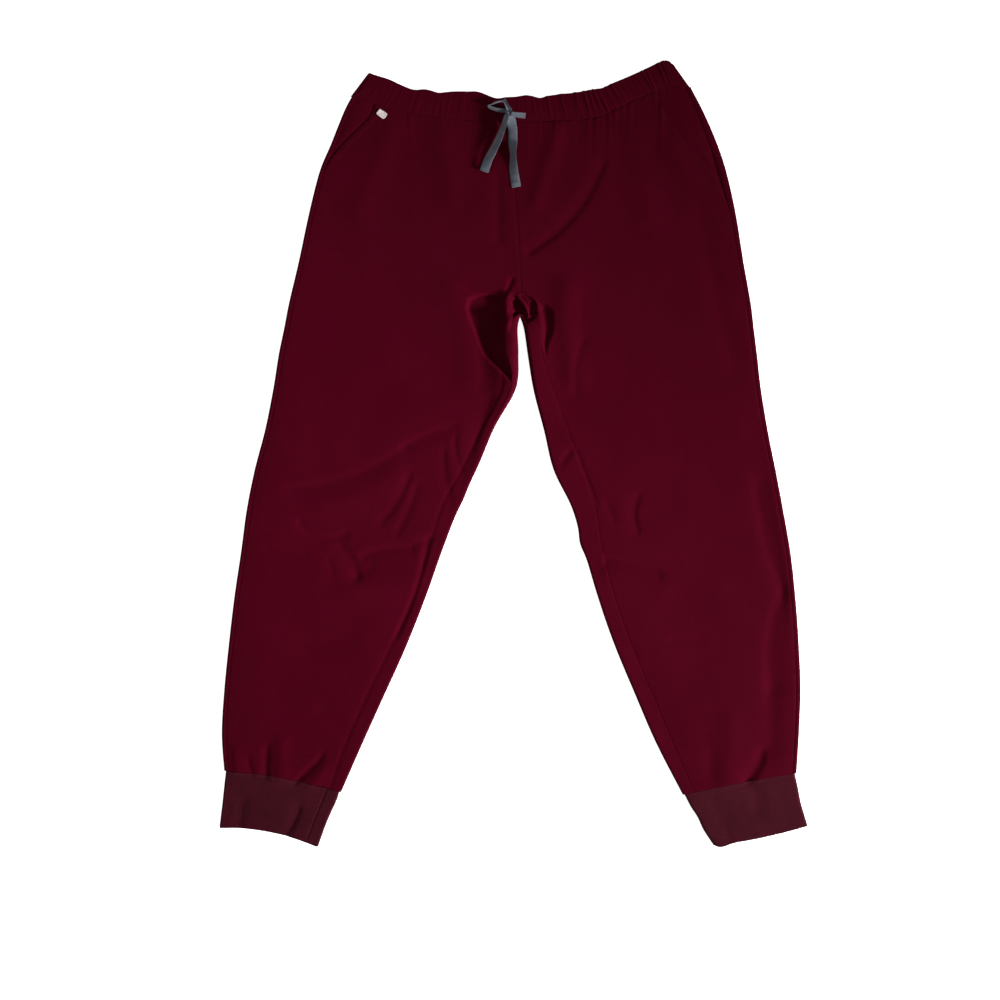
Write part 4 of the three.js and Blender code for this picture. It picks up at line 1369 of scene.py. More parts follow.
@dataclass
class FrontPanel:
    """Front of one leg, cut back at the pocket opening."""

    leg: Leg
    drape: Drape
    gathers: Gathers
    hip_steps: int = 110
    leg_steps: int = 225
    columns: int = 118
    crowding: float = 0.45
    hem_width: float = 7.5 * MM
    hem_height: float = 0.35 * MM
    stitch_in: float = 1.8 * MM
    stitch_out: float = 6.6 * MM
    seam_stitch: float = 2.2 * MM
    seam_stitch_readings: int = 120
    mouth_readings: int = 90
    centre_dip: float = 0.15 * MM
    centre_width: float = 1.6 * MM
    mouth_lead: float = 0.35
    mouth_fade: float = 0.4
    hem_slope: float = 1.2 * MM
    groove_width: float = 0.9 * MM
    groove_depth: float = 0.2 * MM
    seam_change: float = 3
    allowance_in: float = 4 * MM
    allowance_width: float = 2.6 * MM
    allowance_height: float = 0.125 * MM
    allowance_fade: float = 0.6
    hem_wall_share: float = 0.6
    edge_round: float = 0.9 * MM

    def mouth(self, place: Array) -> Array:
        """Give 1 along the pocket opening and 0 below it."""
        return 1 - smooth((place - self.leg.facing_end + self.mouth_lead) / self.mouth_fade)

    def spread(self, place: Array, across: Array) -> tuple[Array, Array, Array]:
        """Give plan points and their distances from both edges.

        Args:
            place: Places down the leg.
            across: Shares of the width from the side to the seam.

        Returns:
            Points in X and Y, distances from the side edge of the panel and from its seam.
        """
        outer, inner = self.leg.outer(place), self.leg.front_end(place)
        inward = unit(inner - outer)
        start = outer + inward * (self.leg.pocket_distance(place) + SEAM_GAP)[..., None]
        width = np.linalg.norm(inner - start, axis=-1)
        plan = start + (inner - start) * across[..., None]
        plan = self.drape.outline.follow_ends(self.leg, place, plan)
        return plan, across * width, (1 - across) * width

    def surface(self, place: Array, across: Array) -> Array:
        """Give points of the upper face.

        Args:
            place: Places down the leg.
            across: Shares of the width from the side to the seam.

        Returns:
            Points in X, Y and Z.
        """
        plan, from_side, from_seam = self.spread(place, across)
        height = self.drape.top(plan) + self.gathers.below_band(plan)
        mouth = self.mouth(place)
        doubled = 1 - smooth((from_side - self.hem_width) / self.hem_slope)
        grooves = sum(bell(from_side - line, self.groove_width) for line in (self.stitch_in, self.stitch_out))
        height = height + mouth * (self.hem_height * doubled - self.groove_depth * grooves)
        height = height - (1 - mouth) * self.leg.side_dip * bell(from_side, SIDE_DIP_WIDTH)
        below = smooth((place - CROTCH_ROW) * self.seam_change)
        dip = self.centre_dip + (self.leg.seam_dip - self.centre_dip) * below
        width = self.centre_width + (self.leg.seam_width - self.centre_width) * below
        height = height - dip * bell(from_seam, width)
        ridge = 1 - smooth((place - CROTCH_ROW + self.allowance_fade) / self.allowance_fade)
        ridge = ridge * bell(from_seam - self.allowance_in, self.allowance_width)
        height = height + self.allowance_height * ridge
        return raised(plan, height)

    def wall(self) -> Wall:
        """Make the panel's wall."""
        place = self.leg.places(self.hip_steps, self.leg_steps)[:, None]
        share = np.linspace(0, 1, self.columns)
        across = share - self.crowding * np.sin(math.tau * share) / math.tau
        place, across = np.broadcast_arrays(place, across[None, :])
        top = self.surface(place, across)
        _, from_side, _ = self.spread(place, across)
        hem = self.mouth(place) * (from_side < self.hem_width) * self.hem_height * self.hem_wall_share
        return soften(level_wall(top, CLOTH_WALL + hem), from_side, self.edge_round)

    def across_at(self, place: Array, distance: float, from_seam: bool) -> Array:
        """Give the share of the width at a distance from one of the panel's edges."""
        _, width, _ = self.spread(place, np.ones_like(place))
        return 1 - distance / width if from_seam else distance / width

    def stitch_lines(self) -> list[Array]:
        """Give the lines of topstitching, two on the pocket and one on the centre seam."""
        lines = []
        mouth = np.linspace(STITCH_START, self.leg.facing_end - STITCH_STOP, self.mouth_readings)
        for distance in (self.stitch_in, self.stitch_out):
            lines.append(self.surface(mouth, self.across_at(mouth, distance, False)))
        if self.leg.side is Side.LEFT:
            centre = np.linspace(STITCH_START, CROTCH_ROW - STITCH_STOP, self.seam_stitch_readings)
            lines.append(self.surface(centre, self.across_at(centre, self.seam_stitch, True)))
        return lines

    def build(self, wardrobe: Wardrobe) -> bpy.types.Object:
        """Build the panel and its stitches.

        Args:
            wardrobe: The finishes.

        Returns:
            The panel.
        """
        name = f"front_{self.leg.side.value}"
        wall = self.wall()
        panel = wardrobe.dress(closed_mesh(f"{name}_cloth", [wall]), wardrobe.cloth)
        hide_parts(name)
        stitches = Stitching().sew(f"{name}_stitches", self.stitch_lines())
        wardrobe.dress(stitches, wardrobe.thread)
        width, length, area = wall.cut()
        return panel


@dataclass
class BackPanel:
    """Back of one leg, rolled over the side edge and the inside edge on to the front."""

    leg: Leg
    drape: Drape
    gathers: Gathers
    hip_steps: int = 90
    leg_steps: int = 230
    strip_steps: int = 5
    roll_steps: int = 10
    floor_steps: int = 12
    inseam_steps: int = 24
    fork_sink: float = 1.0 * MM
    fork_reach: float = 0.45

    def top(self, plan: Array) -> Array:
        """Give the height of the upper face."""
        return self.drape.top(plan) + self.gathers.below_band(plan)

    def main_wall(self, place: Array) -> Wall:
        """Make the part from the side seam round the side edge and under the leg.

        Args:
            place: Places down the leg.

        Returns:
            The wall.
        """
        leg, outline = self.leg, self.drape.outline
        outer, inner = leg.outer(place), leg.inner(place)
        outward = unit(outer - inner)
        reach = outer - outward * ROLL / 2
        seam = outer - outward * leg.side_distance(place)[:, None]
        share = np.linspace(0, 1, self.strip_steps)[None, :, None]
        plan = seam[:, None] + (reach - seam)[:, None] * share
        plan = outline.follow_ends(leg, place[:, None], plan)
        distance = np.linalg.norm(plan - plan[:, :1], axis=-1)
        height = self.top(plan) - leg.side_dip * bell(distance, SIDE_DIP_WIDTH) * (1 - share[..., 0])
        height[:, -1] = ROLL
        strip = level_wall(raised(plan, height), CLOTH_WALL)
        centre = outline.follow_ends(leg, place, reach)
        roll = rolled_wall(centre, outward, math.pi / 2, -math.pi / 2, self.roll_steps, CLOTH_WALL, ROLL)
        share = np.linspace(0, 1, self.floor_steps)[None, :, None]
        floor = reach[:, None] + (self.floor_end(place) - reach)[:, None] * share
        under = floor_wall(outline.follow_ends(leg, place[:, None], floor), CLOTH_WALL)
        return beside([strip, roll, under])

    def floor_end(self, place: Array) -> Array:
        """Give where the part under the leg ends, at the centre seam or below the inside edge."""
        inner = self.leg.inner(place)
        below = (place >= CROTCH_ROW)[:, None]
        radius = self.leg.roll_height(place)[:, None] / 2
        end = np.where(below, inner - self.leg.inner_heading(place) * radius, inner)
        end[:, 0] += np.where(place <= CROTCH_ROW, self.leg.hand * SEAM_GAP / 2, 0)
        return end

    def inside_wall(self, place: Array) -> Wall:
        """Make the part that rolls over the inside edge and ends at the inseam.

        Args:
            place: Places down the leg from the crotch.

        Returns:
            The wall.
        """
        leg, outline = self.leg, self.drape.outline
        end = self.floor_end(place)
        centre = outline.follow_ends(leg, place, end)
        heading = leg.inner_heading(place)
        height = leg.roll_height(place)
        roll = rolled_wall(centre, heading, -math.pi / 2, math.pi / 2, self.roll_steps, CLOTH_WALL, height)
        seam = leg.seam(place) + leg.seam_normal(place) * SEAM_GAP / 2
        seam[0] = leg.seam(place[0]) + np.array([leg.hand * SEAM_GAP / 2, -SEAM_GAP])
        share = np.linspace(0, 1, self.inseam_steps)[None, :, None]
        plan = end[:, None] + (seam - end)[:, None] * share
        plan = outline.follow_ends(leg, place[:, None], plan)
        distance = np.linalg.norm(plan - plan[:, -1:], axis=-1)
        fork = bell(place - CROTCH_ROW, self.fork_reach)[:, None]
        level = self.top(plan) - self.fork_sink * fork * smooth(share[..., 0] * 2)
        level = level - leg.seam_dip * bell(distance, leg.seam_width) * share[..., 0]
        level[:, 0] = height
        return beside([roll, level_wall(raised(plan, np.maximum(level, self.drape.lowest)), CLOTH_WALL)])

    def build(self, wardrobe: Wardrobe) -> bpy.types.Object:
        """Build the panel.

        Args:
            wardrobe: The finishes.

        Returns:
            The panel.
        """
        name = f"back_{self.leg.side.value}"
        place = self.leg.places(self.hip_steps, self.leg_steps)
        main = self.main_wall(place)
        below = place >= CROTCH_ROW
        inside = self.inside_wall(place[below])
        inside.outer[:, 0] = main.outer[below, -1]
        inside.inner[:, 0] = main.inner[below, -1]
        panel = wardrobe.dress(closed_mesh(f"{name}_cloth", [main, inside]), wardrobe.cloth)
        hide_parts(name)
        width, length, area = main.cut()
        more_width, _, more_area = inside.cut()
        return panel


@dataclass
class PocketFacing:
    """Side piece of one pocket, which shows between its opening and the side seam."""

    leg: Leg
    drape: Drape
    gathers: Gathers
    under_side: float = 2.3 * MM
    under_front: float = 8 * MM
    narrowest: float = 1 * MM
    slack: float = 0.1 * MM
    swell: float = 0.9 * MM
    swell_width: float = 12 * MM
    swell_start: float = 0.4
    rows: int = 70
    columns: int = 50

    def wall(self) -> Wall:
        """Make the facing's wall, tucked under the side seam and under the front panel."""
        leg = self.leg
        place = np.linspace(0, leg.facing_end, self.rows)
        outer = leg.outer(place)
        inward = unit(leg.seam(place) - outer)
        start = leg.side_distance(place) - self.under_side
        end = leg.pocket_distance(place) + self.under_front
        share = np.linspace(0, 1, self.columns)[None, :]
        distance = start[:, None] + (end - start)[:, None] * share
        plan = outer[:, None] + inward[:, None] * distance[..., None]
        plan = self.drape.outline.follow_ends(leg, place[:, None], plan)
        height = self.drape.top(plan) + np.minimum(self.gathers.below_band(plan), 0)
        side = leg.side_distance(place)[:, None]
        open_width = np.maximum(leg.pocket_distance(place)[:, None] - side, self.narrowest)
        inside = (distance - side) / open_width
        swell = self.swell * np.clip(4 * inside * (1 - inside), 0, 1)
        swell = swell * smooth(open_width / self.swell_width - self.swell_start)
        lower = CLOTH_WALL + SEAM_GAP + self.slack
        return level_wall(raised(plan, height - lower + swell), CLOTH_WALL)

    def build(self, wardrobe: Wardrobe) -> bpy.types.Object:
        """Build the facing.

        Args:
            wardrobe: The finishes.

        Returns:
            The facing.
        """
        name = f"pocket_facing_{self.leg.side.value}"
        wall = self.wall()
        piece = wardrobe.dress(closed_mesh(f"{name}_cloth", [wall]), wardrobe.cloth)
        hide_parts(name)
        width, length, area = wall.cut()
        return piece


@dataclass
class Waistband:
    """The gathered casing with its elastic, a front and a back half."""

    gathers: Gathers
    cut: BandCut = BandCut()
    wall: float = 2.2 * MM
    side: float = 5.5 * MM
    bulge: float = 0.7 * MM
    columns: int = 760
    rows: int = 26
    back_rows: int = 12
    back_columns: int = 120
    roll_steps: int = 10
    round_edge: float = 1.6 * MM
    depth: float = 32 * MM
    stitch_up: float = 0.09
    stitch_spread: float = 0.035
    stitch_depth: float = 0.12 * MM
    stitch_pinch: float = 0.3 * MM
    stitch_ends: float = 0.004
    stitch_readings: int = 900
    edge_wave: float = 0.9 * MM
    mean_gather: float = 0.3
    end_share: float = 0.45
    row_crowding: float = 0.6
    strip_columns: int = 4

    def front_surface(self, share: Array, up: Array) -> Array:
        """Give points of the upper face of the front half.

        Args:
            share: Shares of its length from the right side.
            up: Shares of its height, a row for each.

        Returns:
            Points in X, Y and Z.
        """
        inset = self.side + SEAM_GAP
        heights = up[:, 0]
        start = self.cut.place_inside(heights, inset, False)[:, None]
        end = self.cut.place_inside(heights, inset, True)[:, None]
        place = start + (end - start) * share
        gather = self.gathers.on_band(share, up)
        arch = np.sin(math.pi * up)
        plan = self.cut.plan(place, up)
        plan[..., 1] += (gather - self.mean_gather) * self.edge_wave * up**3
        trough = bell(up - self.stitch_up, self.stitch_spread)
        fade = self.end_share + (1 - self.end_share) * np.sqrt(np.clip(arch, 0, 1))
        height = ROLL + self.bulge * arch + self.gathers.high * gather * fade
        height = height - (self.stitch_depth + self.stitch_pinch * gather) * trough
        return raised(plan, height)

    def build_front(self, wardrobe: Wardrobe) -> bpy.types.Object:
        """Build the front half and its row of stitches.

        Args:
            wardrobe: The finishes.

        Returns:
            The front half.
        """
        share = np.linspace(0, 1, self.columns)[None, :]
        rows = np.linspace(0, 1, self.rows)
        up = (rows - self.row_crowding * np.sin(math.tau * rows) / math.tau)[:, None]
        share, up = np.broadcast_arrays(share, up)
        top = self.front_surface(share, up)
        distance = np.minimum(up, 1 - up) * self.depth
        wall = soften(level_wall(top, self.wall), distance, self.round_edge)
        piece = wardrobe.dress(closed_mesh("waistband_front_cloth", [wall]), wardrobe.cloth)
        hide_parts("waistband_front")
        run = np.linspace(self.stitch_ends, 1 - self.stitch_ends, self.stitch_readings)[None, :]
        line = self.front_surface(run, np.full((1, 1), self.stitch_up))[0]
        sewing = Stitching(length=2.0 * MM, pitch=2.7 * MM, radius=0.16 * MM)
        stitches = sewing.sew("waistband_stitches", [line])
        wardrobe.dress(stitches, wardrobe.thread)
        width, length, area = wall.cut()
        return piece

    def build_back(self, wardrobe: Wardrobe) -> bpy.types.Object:
        """Build the back half, rolled round both sides.

        Args:
            wardrobe: The finishes.

        Returns:
            The back half.
        """
        up = np.linspace(0, 1, self.back_rows)
        last = self.cut.edges.last
        right, left = self.cut.plan(np.zeros_like(up), up), self.cut.plan(np.full_like(up, last), up)
        right_out = unit(right - self.cut.plan(np.ones_like(up), up))
        left_out = unit(left - self.cut.plan(np.full_like(up, last - 1), up))
        radius = ROLL / 2
        right_centre, left_centre = right - right_out * radius, left - left_out * radius
        share = np.linspace(0, 1, self.strip_columns)[None, :, None]
        right_seam, left_seam = right - right_out * self.side, left - left_out * self.side
        right_strip = raised(right_seam[:, None] + (right_centre - right_seam)[:, None] * share, ROLL)
        left_strip = raised(left_centre[:, None] + (left_seam - left_centre)[:, None] * share, ROLL)
        start = self.cut.place_inside(up, radius, False)[:, None]
        end = self.cut.place_inside(up, radius, True)[:, None]
        places = start + (end - start) * np.linspace(0, 1, self.back_columns)[None, :]
        floor = self.cut.plan(places, np.broadcast_to(up[:, None], places.shape))
        floor[:, 0], floor[:, -1] = right_centre, left_centre
        quarter = math.pi / 2
        wall = beside(
            [
                level_wall(right_strip, self.wall),
                rolled_wall(right_centre, right_out, quarter, -quarter, self.roll_steps, self.wall, ROLL),
                floor_wall(floor, self.wall),
                rolled_wall(left_centre, left_out, -quarter, quarter, self.roll_steps, self.wall, ROLL),
                level_wall(left_strip, self.wall),
            ]
        )
        piece = wardrobe.dress(closed_mesh("waistband_back_cloth", [wall]), wardrobe.cloth)
        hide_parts("waistband_back")
        width, length, area = wall.cut()
        return piece


CUFF_COLUMNS = ("outer_x", "outer_y", "inner_x", "inner_y", "rise")
CUFF_ROWS = {
    Side.RIGHT: (
        (-360, -414, -220, -433, 3),
        (-362, -433, -227, -448, 3),
        (-364, -450, -234, -465, 4),
        (-366, -466, -243, -490, 7),
    ),
    Side.LEFT: (
        (356, -417, 222, -440, 0),
        (359, -433, 231, -454, 0),
        (363.5, -449, 238, -470, -1),
        (368, -464, 250, -489, -2),
    ),
}


@dataclass
class Cuff:
    """Rib-knit ankle cuff, a tube pressed flat, with its ribs raised all round."""

    leg: Leg
    drape: Drape
    wall: float = 1.8 * MM
    step_in: float = 2.2 * MM
    bulge: float = 0.8 * MM
    rows: int = 36
    ribs: int = 124
    columns_a_rib: int = 5
    roll_steps: int = 20
    rib_height: float = 0.42 * MM
    slip_size: float = 9 * MM
    slip_drop: float = 4 * MM
    slip_width: float = 30 * MM
    slip_from: float = 0.5
    row_crowding: float = 0.5
    crease_share: float = 0.7
    crease_in: float = 3 * MM
    crease_rise: float = 12 * MM
    rumple_share: float = 0.5
    end_rib: float = 0.35
    top_fade: float = 0.08
    bottom_fade: float = 0.04
    depth: float = 72 * MM
    edge_round: float = 1.5 * MM

    def table(self) -> Table:
        """Give the cuff's rows, the first of which lies along the hem of the leg."""
        leg = self.leg
        outer, inner = leg.outer(float(leg.last)), leg.inner(float(leg.last))
        inward = unit(inner - outer) * self.step_in
        first = (*(outer + inward) / MM, *(inner - inward) / MM, leg.hem_rise / MM)
        row = (first[0], first[1] - SEAM_GAP / MM, first[2], first[3] - SEAM_GAP / MM, first[4])
        return Table(CUFF_COLUMNS, (tuple(float(value) for value in row), *CUFF_ROWS[leg.side]))

    def ring_wall(self) -> Wall:
        """Make the tube, whose last column is its first one again."""
        table = self.table()
        step = np.linspace(0, 1, self.rows)
        place = (step - self.row_crowding * np.sin(math.tau * step) / math.tau) * table.last
        outer, inner = table.point("outer", place), table.point("inner", place)
        outward = unit(outer - inner)
        radius = ROLL / 2
        rise = table.at("rise", place)[:, None]
        total = self.ribs * self.columns_a_rib
        flat = (total - 2 * self.roll_steps) // 2
        quarter = math.pi / 2

        def across(share: Array) -> Array:
            """Give plan points on a row between the centres of its two rolls."""
            start, end = outer - outward * radius, inner + outward * radius
            plan = start[:, None] + (end - start)[:, None] * share[None, :, None]
            plan[..., 1] += rise * 4 * share * (1 - share)
            return plan

        share = np.linspace(0, 1, flat + 1)
        top = across(share[::-1])
        swell = ROLL + self.bulge * np.sin(math.pi * share[::-1]) + self.creases(top)
        out_centre, in_centre = across(np.array([0.0]))[:, 0], across(np.array([1.0]))[:, 0]
        ring = beside(
            [
                rolled_wall(out_centre, outward, quarter, -quarter, self.roll_steps, self.wall, ROLL),
                floor_wall(across(share), self.wall),
                rolled_wall(in_centre, -outward, -quarter, quarter, self.roll_steps, self.wall, ROLL),
                level_wall(raised(top, swell), self.wall),
            ]
        )
        if self.leg.side is Side.LEFT:
            self.slip(ring, inner, outward, step)
        return self.ribbed(ring, place / table.last)

    def slip(self, ring: Wall, inner: Array, outward: Array, step: Array) -> None:
        """Move the upper layer's lower inside corner, so that the layer below shows beside it.

        Args:
            ring: The plain tube, which is changed.
            inner: Points of the inside edge, one a row.
            outward: Directions towards the outer edge, one a row.
            step: Shares of the cuff's length, one for each row.
        """
        for face in (ring.outer, ring.inner):
            reach = ((face[..., :2] - inner[:, None]) * outward[:, None]).sum(axis=-1)
            share = smooth((step[:, None] - self.slip_from) / (1 - self.slip_from))
            share = smooth(1 - reach / self.slip_width) * share
            share = share * np.clip(face[..., 2] / ROLL, 0, 1) ** 2
            face[..., :2] += outward[:, None] * (share * self.slip_size)[..., None]
            face[..., 1] -= share * self.slip_drop

    def creases(self, plan: Array) -> Array:
        """Give the shallow folds that run from the leg into the cuff."""
        low = sum(self.drape.fold_height(row, plan) for row in self.drape.folds)
        ends, _ = self.drape.outline.nearest_edge(plan)
        fade = smooth((ends - self.crease_in) / self.crease_rise)
        return low * self.crease_share * fade + self.rumple_share * self.drape.rumple(plan)

    def ribbed(self, ring: Wall, along: Array) -> Wall:
        """Raise the ribs in the outer points, over a plain inside.

        Args:
            ring: The plain tube.
            along: Shares of the cuff's length, one for each row.

        Returns:
            The ribbed tube, rounded at its lower edge.
        """
        count = ring.outer.shape[1]
        phase = np.arange(count) / self.columns_a_rib * math.tau
        rib = (0.5 + 0.5 * np.cos(phase)) ** 0.8
        fade = smooth(along / self.top_fade) * smooth((1 - along) / self.bottom_fade)
        depth = self.rib_height * (self.end_rib + (1 - self.end_rib) * fade)
        sunk = (1 - rib)[None, :, None] * depth[:, None, None]
        inward = unit(ring.inner - ring.outer)
        outer = ring.outer + inward * sunk
        distance = np.broadcast_to((1 - along)[:, None] * self.depth, ring.outer.shape[:2])
        rounded = soften(Wall(outer, ring.inner), distance, self.edge_round)
        rounded.outer[:, -1], rounded.inner[:, -1] = rounded.outer[:, 0], rounded.inner[:, 0]
        return rounded

    def build(self, wardrobe: Wardrobe) -> bpy.types.Object:
        """Build the cuff.

        Args:
            wardrobe: The finishes.

        Returns:
            The cuff.
        """
        name = f"cuff_{self.leg.side.value}"
        wall = self.ring_wall()
        piece = wardrobe.dress(closed_mesh(f"{name}_knit", [wall], crease=70), wardrobe.rib)
        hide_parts(name)
        width, length, area = wall.cut()
        return piece


TAPE_COLUMNS = ("x", "y", "lift", "width", "roll")


@dataclass
class Ribbon:
    """A stretch of the flat tape along a path, with its edges rounded."""

    path: Array
    across: Array
    width: Array
    thickness: float = 0.9 * MM
    columns: int = 13
    cup: float = 0.35 * MM

    def wall(self) -> Wall:
        """Make the tape's wall."""
        ahead = unit(np.gradient(self.path, axis=0))
        side = unit(self.across - ahead * (self.across * ahead).sum(axis=1, keepdims=True))
        upward = unit(np.cross(side, ahead))
        share = np.linspace(-1, 1, self.columns)[None, :, None]
        middle = self.path[:, None] + side[:, None] * share * self.width[:, None, None] / 2
        middle = middle - upward[:, None] * self.cup * share**2
        full = np.sqrt(np.clip(1 - np.abs(share) ** 6, 0.12, 1)) * self.thickness / 2
        return Wall(middle + upward[:, None] * full, middle - upward[:, None] * full)


@dataclass
class Drawstring:
    """The flat tape at centre front, tied in a small bow."""

    drape: Drape
    cut: BandCut = BandCut()
    tape: float = 11.5 * MM
    thickness: float = 0.9 * MM
    band_top: float = 8.0 * MM
    band_clear: float = 2 * MM
    band_drop: float = 10 * MM
    clear: float = 0.3 * MM
    layers: float = 4.5 * MM
    steps: int = 60
    strap_steps: int = 30
    turn_steps: int = 12
    hem_length: float = 8 * MM
    hem_step: float = 0.6 * MM
    hem_height: float = 0.7 * MM
    hem_stitch: float = 6.5 * MM
    stub_share: float = 0.8
    strap_cup: float = 1.9 * MM
    knot_size: tuple[float, float, float] = (4.8, 6.6, 3.6)
    knot_centre: tuple[float, float, float] = (-5.0, 424.2, 11.2)
    knot_inside: float = 0.6
    long_loop: Table = Table(
        TAPE_COLUMNS,
        (
            (-7.5, 419, 1, 11.5, 58),
            (-11.5, 406, 0, 11.5, 52),
            (-17, 392, 0, 11.5, 40),
            (-23, 379, 0, 11.5, 32),
            (-30, 366, 0, 11.5, 22),
            (-35, 353, 0, 11.5, 8),
        ),
    )
    long_tail: Table = Table(
        TAPE_COLUMNS,
        (
            (-3, 419, 2.6, 11.5, -34),
            (-0.5, 406, 1, 11.5, 6),
            (0, 390, 0, 11.5, 14),
            (0, 372, 0, 11.5, 52),
            (1, 353, 0, 11.5, 26),
            (4.5, 332, 0, 11.5, 4),
        ),
    )
    short_tail: Table = Table(
        TAPE_COLUMNS,
        (
            (-2, 420.5, 2, 11.5, 72),
            (7, 420, 0.5, 11.5, 64),
            (15.8, 419.2, 0, 11.5, 60),
        ),
    )
    short_loop: Table = Table(
        TAPE_COLUMNS,
        (
            (-8, 434.5, 11.8, 8, 60),
            (-13, 437.3, 11.8, 7.5, 64),
            (-19.5, 436.2, 11.8, 8, 62),
            (-26, 433.6, 11.8, 8, 70),
            (-31, 431.2, 11.6, 7, 88),
            (-26, 429.2, 11.6, 8, 76),
            (-19, 427.2, 11.6, 8, 72),
            (-12.5, 426.2, 11.6, 8, 72),
            (-7, 427, 11.6, 8, 70),
        ),
    )
    strap: Table = Table(
        TAPE_COLUMNS,
        (
            (-11.2, 439.6, 9.4, 3.8, 0),
            (-9.8, 437.0, 13.0, 4.0, 0),
            (-7.3, 431.4, 15.2, 4.6, 0),
            (-4.9, 425.6, 15.4, 5.4, 0),
            (-2.8, 420.6, 13.4, 6.4, 0),
            (-1.2, 417.6, 9.8, 6.6, 0),
        ),
    )

    def ground(self, plan: Array, half: Array) -> Array:
        """Give the height of what the tape lies on.

        Args:
            plan: Points in X and Y.
            half: Half of the tape's width at each.

        Returns:
            Heights in metres.
        """
        cloth = self.drape.top(plan)
        for shift in (-1, 1):
            beside_it = plan + np.stack([shift * half, np.zeros_like(half)], axis=-1)
            cloth = np.maximum(cloth, self.drape.top(beside_it))
        off_band = smooth((self.cut.bottom(plan[:, 0]) - plan[:, 1] - self.band_clear) / self.band_drop)
        return self.band_top + (cloth - self.band_top) * off_band

    def route(self, table: Table, lift: float) -> tuple[Array, Array]:
        """Lay a stretch of tape over the cloth.

        Args:
            table: The stretch's table.
            lift: Height above its lowest layer.

        Returns:
            Points of its middle line, and the directions of its width.
        """
        place = np.linspace(0, table.last, self.steps)
        plan = np.stack([table.at("x", place), table.at("y", place)], axis=-1)
        roll = np.radians(table.at("roll", place) / MM)
        half = table.at("width", place) / 2
        stand = self.clear + self.thickness / 2 + np.abs(np.sin(roll)) * half
        height = self.ground(plan, half * np.cos(roll)) + stand + table.at("lift", place) + lift
        path = raised(plan, height)
        ahead = unit(np.gradient(plan, axis=0))
        side = raised(np.stack([-ahead[:, 1], ahead[:, 0]], axis=-1), 0.0)
        across = side * np.cos(roll)[:, None]
        across[:, 2] = np.sin(roll)
        return path, across

    def dressed(self, name: str, walls: list[Wall], wardrobe: Wardrobe) -> bpy.types.Object:
        """Make a piece of tape and give it its finish.

        Args:
            name: Name of the CAD node.
            walls: Its walls.
            wardrobe: The finishes.

        Returns:
            The piece.
        """
        piece = wardrobe.dress(closed_mesh(f"{name}_tape", walls), wardrobe.tape)
        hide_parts(name)
        return piece

    def build_long_loop(self, wardrobe: Wardrobe) -> bpy.types.Object:
        """Build the loop that hangs beside the centre seam, out and back.

        Args:
            wardrobe: The finishes.

        Returns:
            The loop.
        """
        lower, lower_across = self.route(self.long_loop, 0.0)
        upper, upper_across = self.route(self.long_loop, self.layers)
        ahead = unit(lower[-1] - lower[-2])
        angles = np.linspace(-math.pi / 2, math.pi / 2, self.turn_steps)[1:-1, None]
        middle = (lower[-1] + upper[-1]) / 2
        bend = middle + ahead * np.cos(angles) * self.layers / 2
        bend = bend + (upper[-1] - lower[-1]) / 2 * np.sin(angles)
        path = np.concatenate([lower, bend, upper[::-1]])
        turned = np.repeat(lower_across[-1:], len(bend), axis=0)
        across = np.concatenate([lower_across, turned, upper_across[::-1]])
        width = np.full(len(path), self.tape)
        piece = self.dressed("drawstring_loop_long", [Ribbon(path, across, width).wall()], wardrobe)
        return piece

    def build_long_tail(self, wardrobe: Wardrobe) -> bpy.types.Object:
        """Build the long free end with its hem.

        Args:
            wardrobe: The finishes.

        Returns:
            The tail.
        """
        path, across = self.route(self.long_tail, 0.0)
        ribbon = Ribbon(path, -across, np.full(len(path), self.tape))
        wall = ribbon.wall()
        to_end = run_length(path) - run_length(path)[-1]
        hem = smooth((to_end + self.hem_length) / self.hem_step)[:, None, None] * self.hem_height
        upward = unit(wall.outer - wall.inner)
        wall = Wall(wall.outer + upward * hem, wall.inner)
        piece = self.dressed("drawstring_tail_long", [wall], wardrobe)
        row = int(np.argmin(np.abs(to_end + self.hem_stitch)))
        sewing = Stitching(length=1.8 * MM, pitch=2.1 * MM, radius=0.3 * MM)
        stitches = sewing.sew("tail_hem_stitches", [wall.outer[row, 1:-1]])
        wardrobe.dress(stitches, wardrobe.tape_thread)
        return piece

    def build_short_tail(self, wardrobe: Wardrobe) -> bpy.types.Object:
        """Build the stub of the other free end."""
        path, across = self.route(self.short_tail, 0.0)
        ribbon = Ribbon(path, across, np.full(len(path), self.tape * self.stub_share))
        return self.dressed("drawstring_tail_short", [ribbon.wall()], wardrobe)

    def build_short_loop(self, wardrobe: Wardrobe) -> bpy.types.Object:
        """Build the small loop, which stands on its edge and shows its inside."""
        table = self.short_loop
        place = np.linspace(0, table.last, self.steps)
        path = np.stack([table.at(name, place) for name in ("x", "y", "lift")], axis=-1)
        lean = np.radians(table.at("roll", place) / MM)
        ahead = unit(np.gradient(path[:, :2], axis=0))
        outward = np.stack([ahead[:, 1], -ahead[:, 0]], axis=-1)
        across = raised(-outward * np.cos(lean)[:, None], np.sin(lean))
        wall = Ribbon(path, across, table.at("width", place)).wall()
        return self.dressed("drawstring_loop_short", [wall], wardrobe)

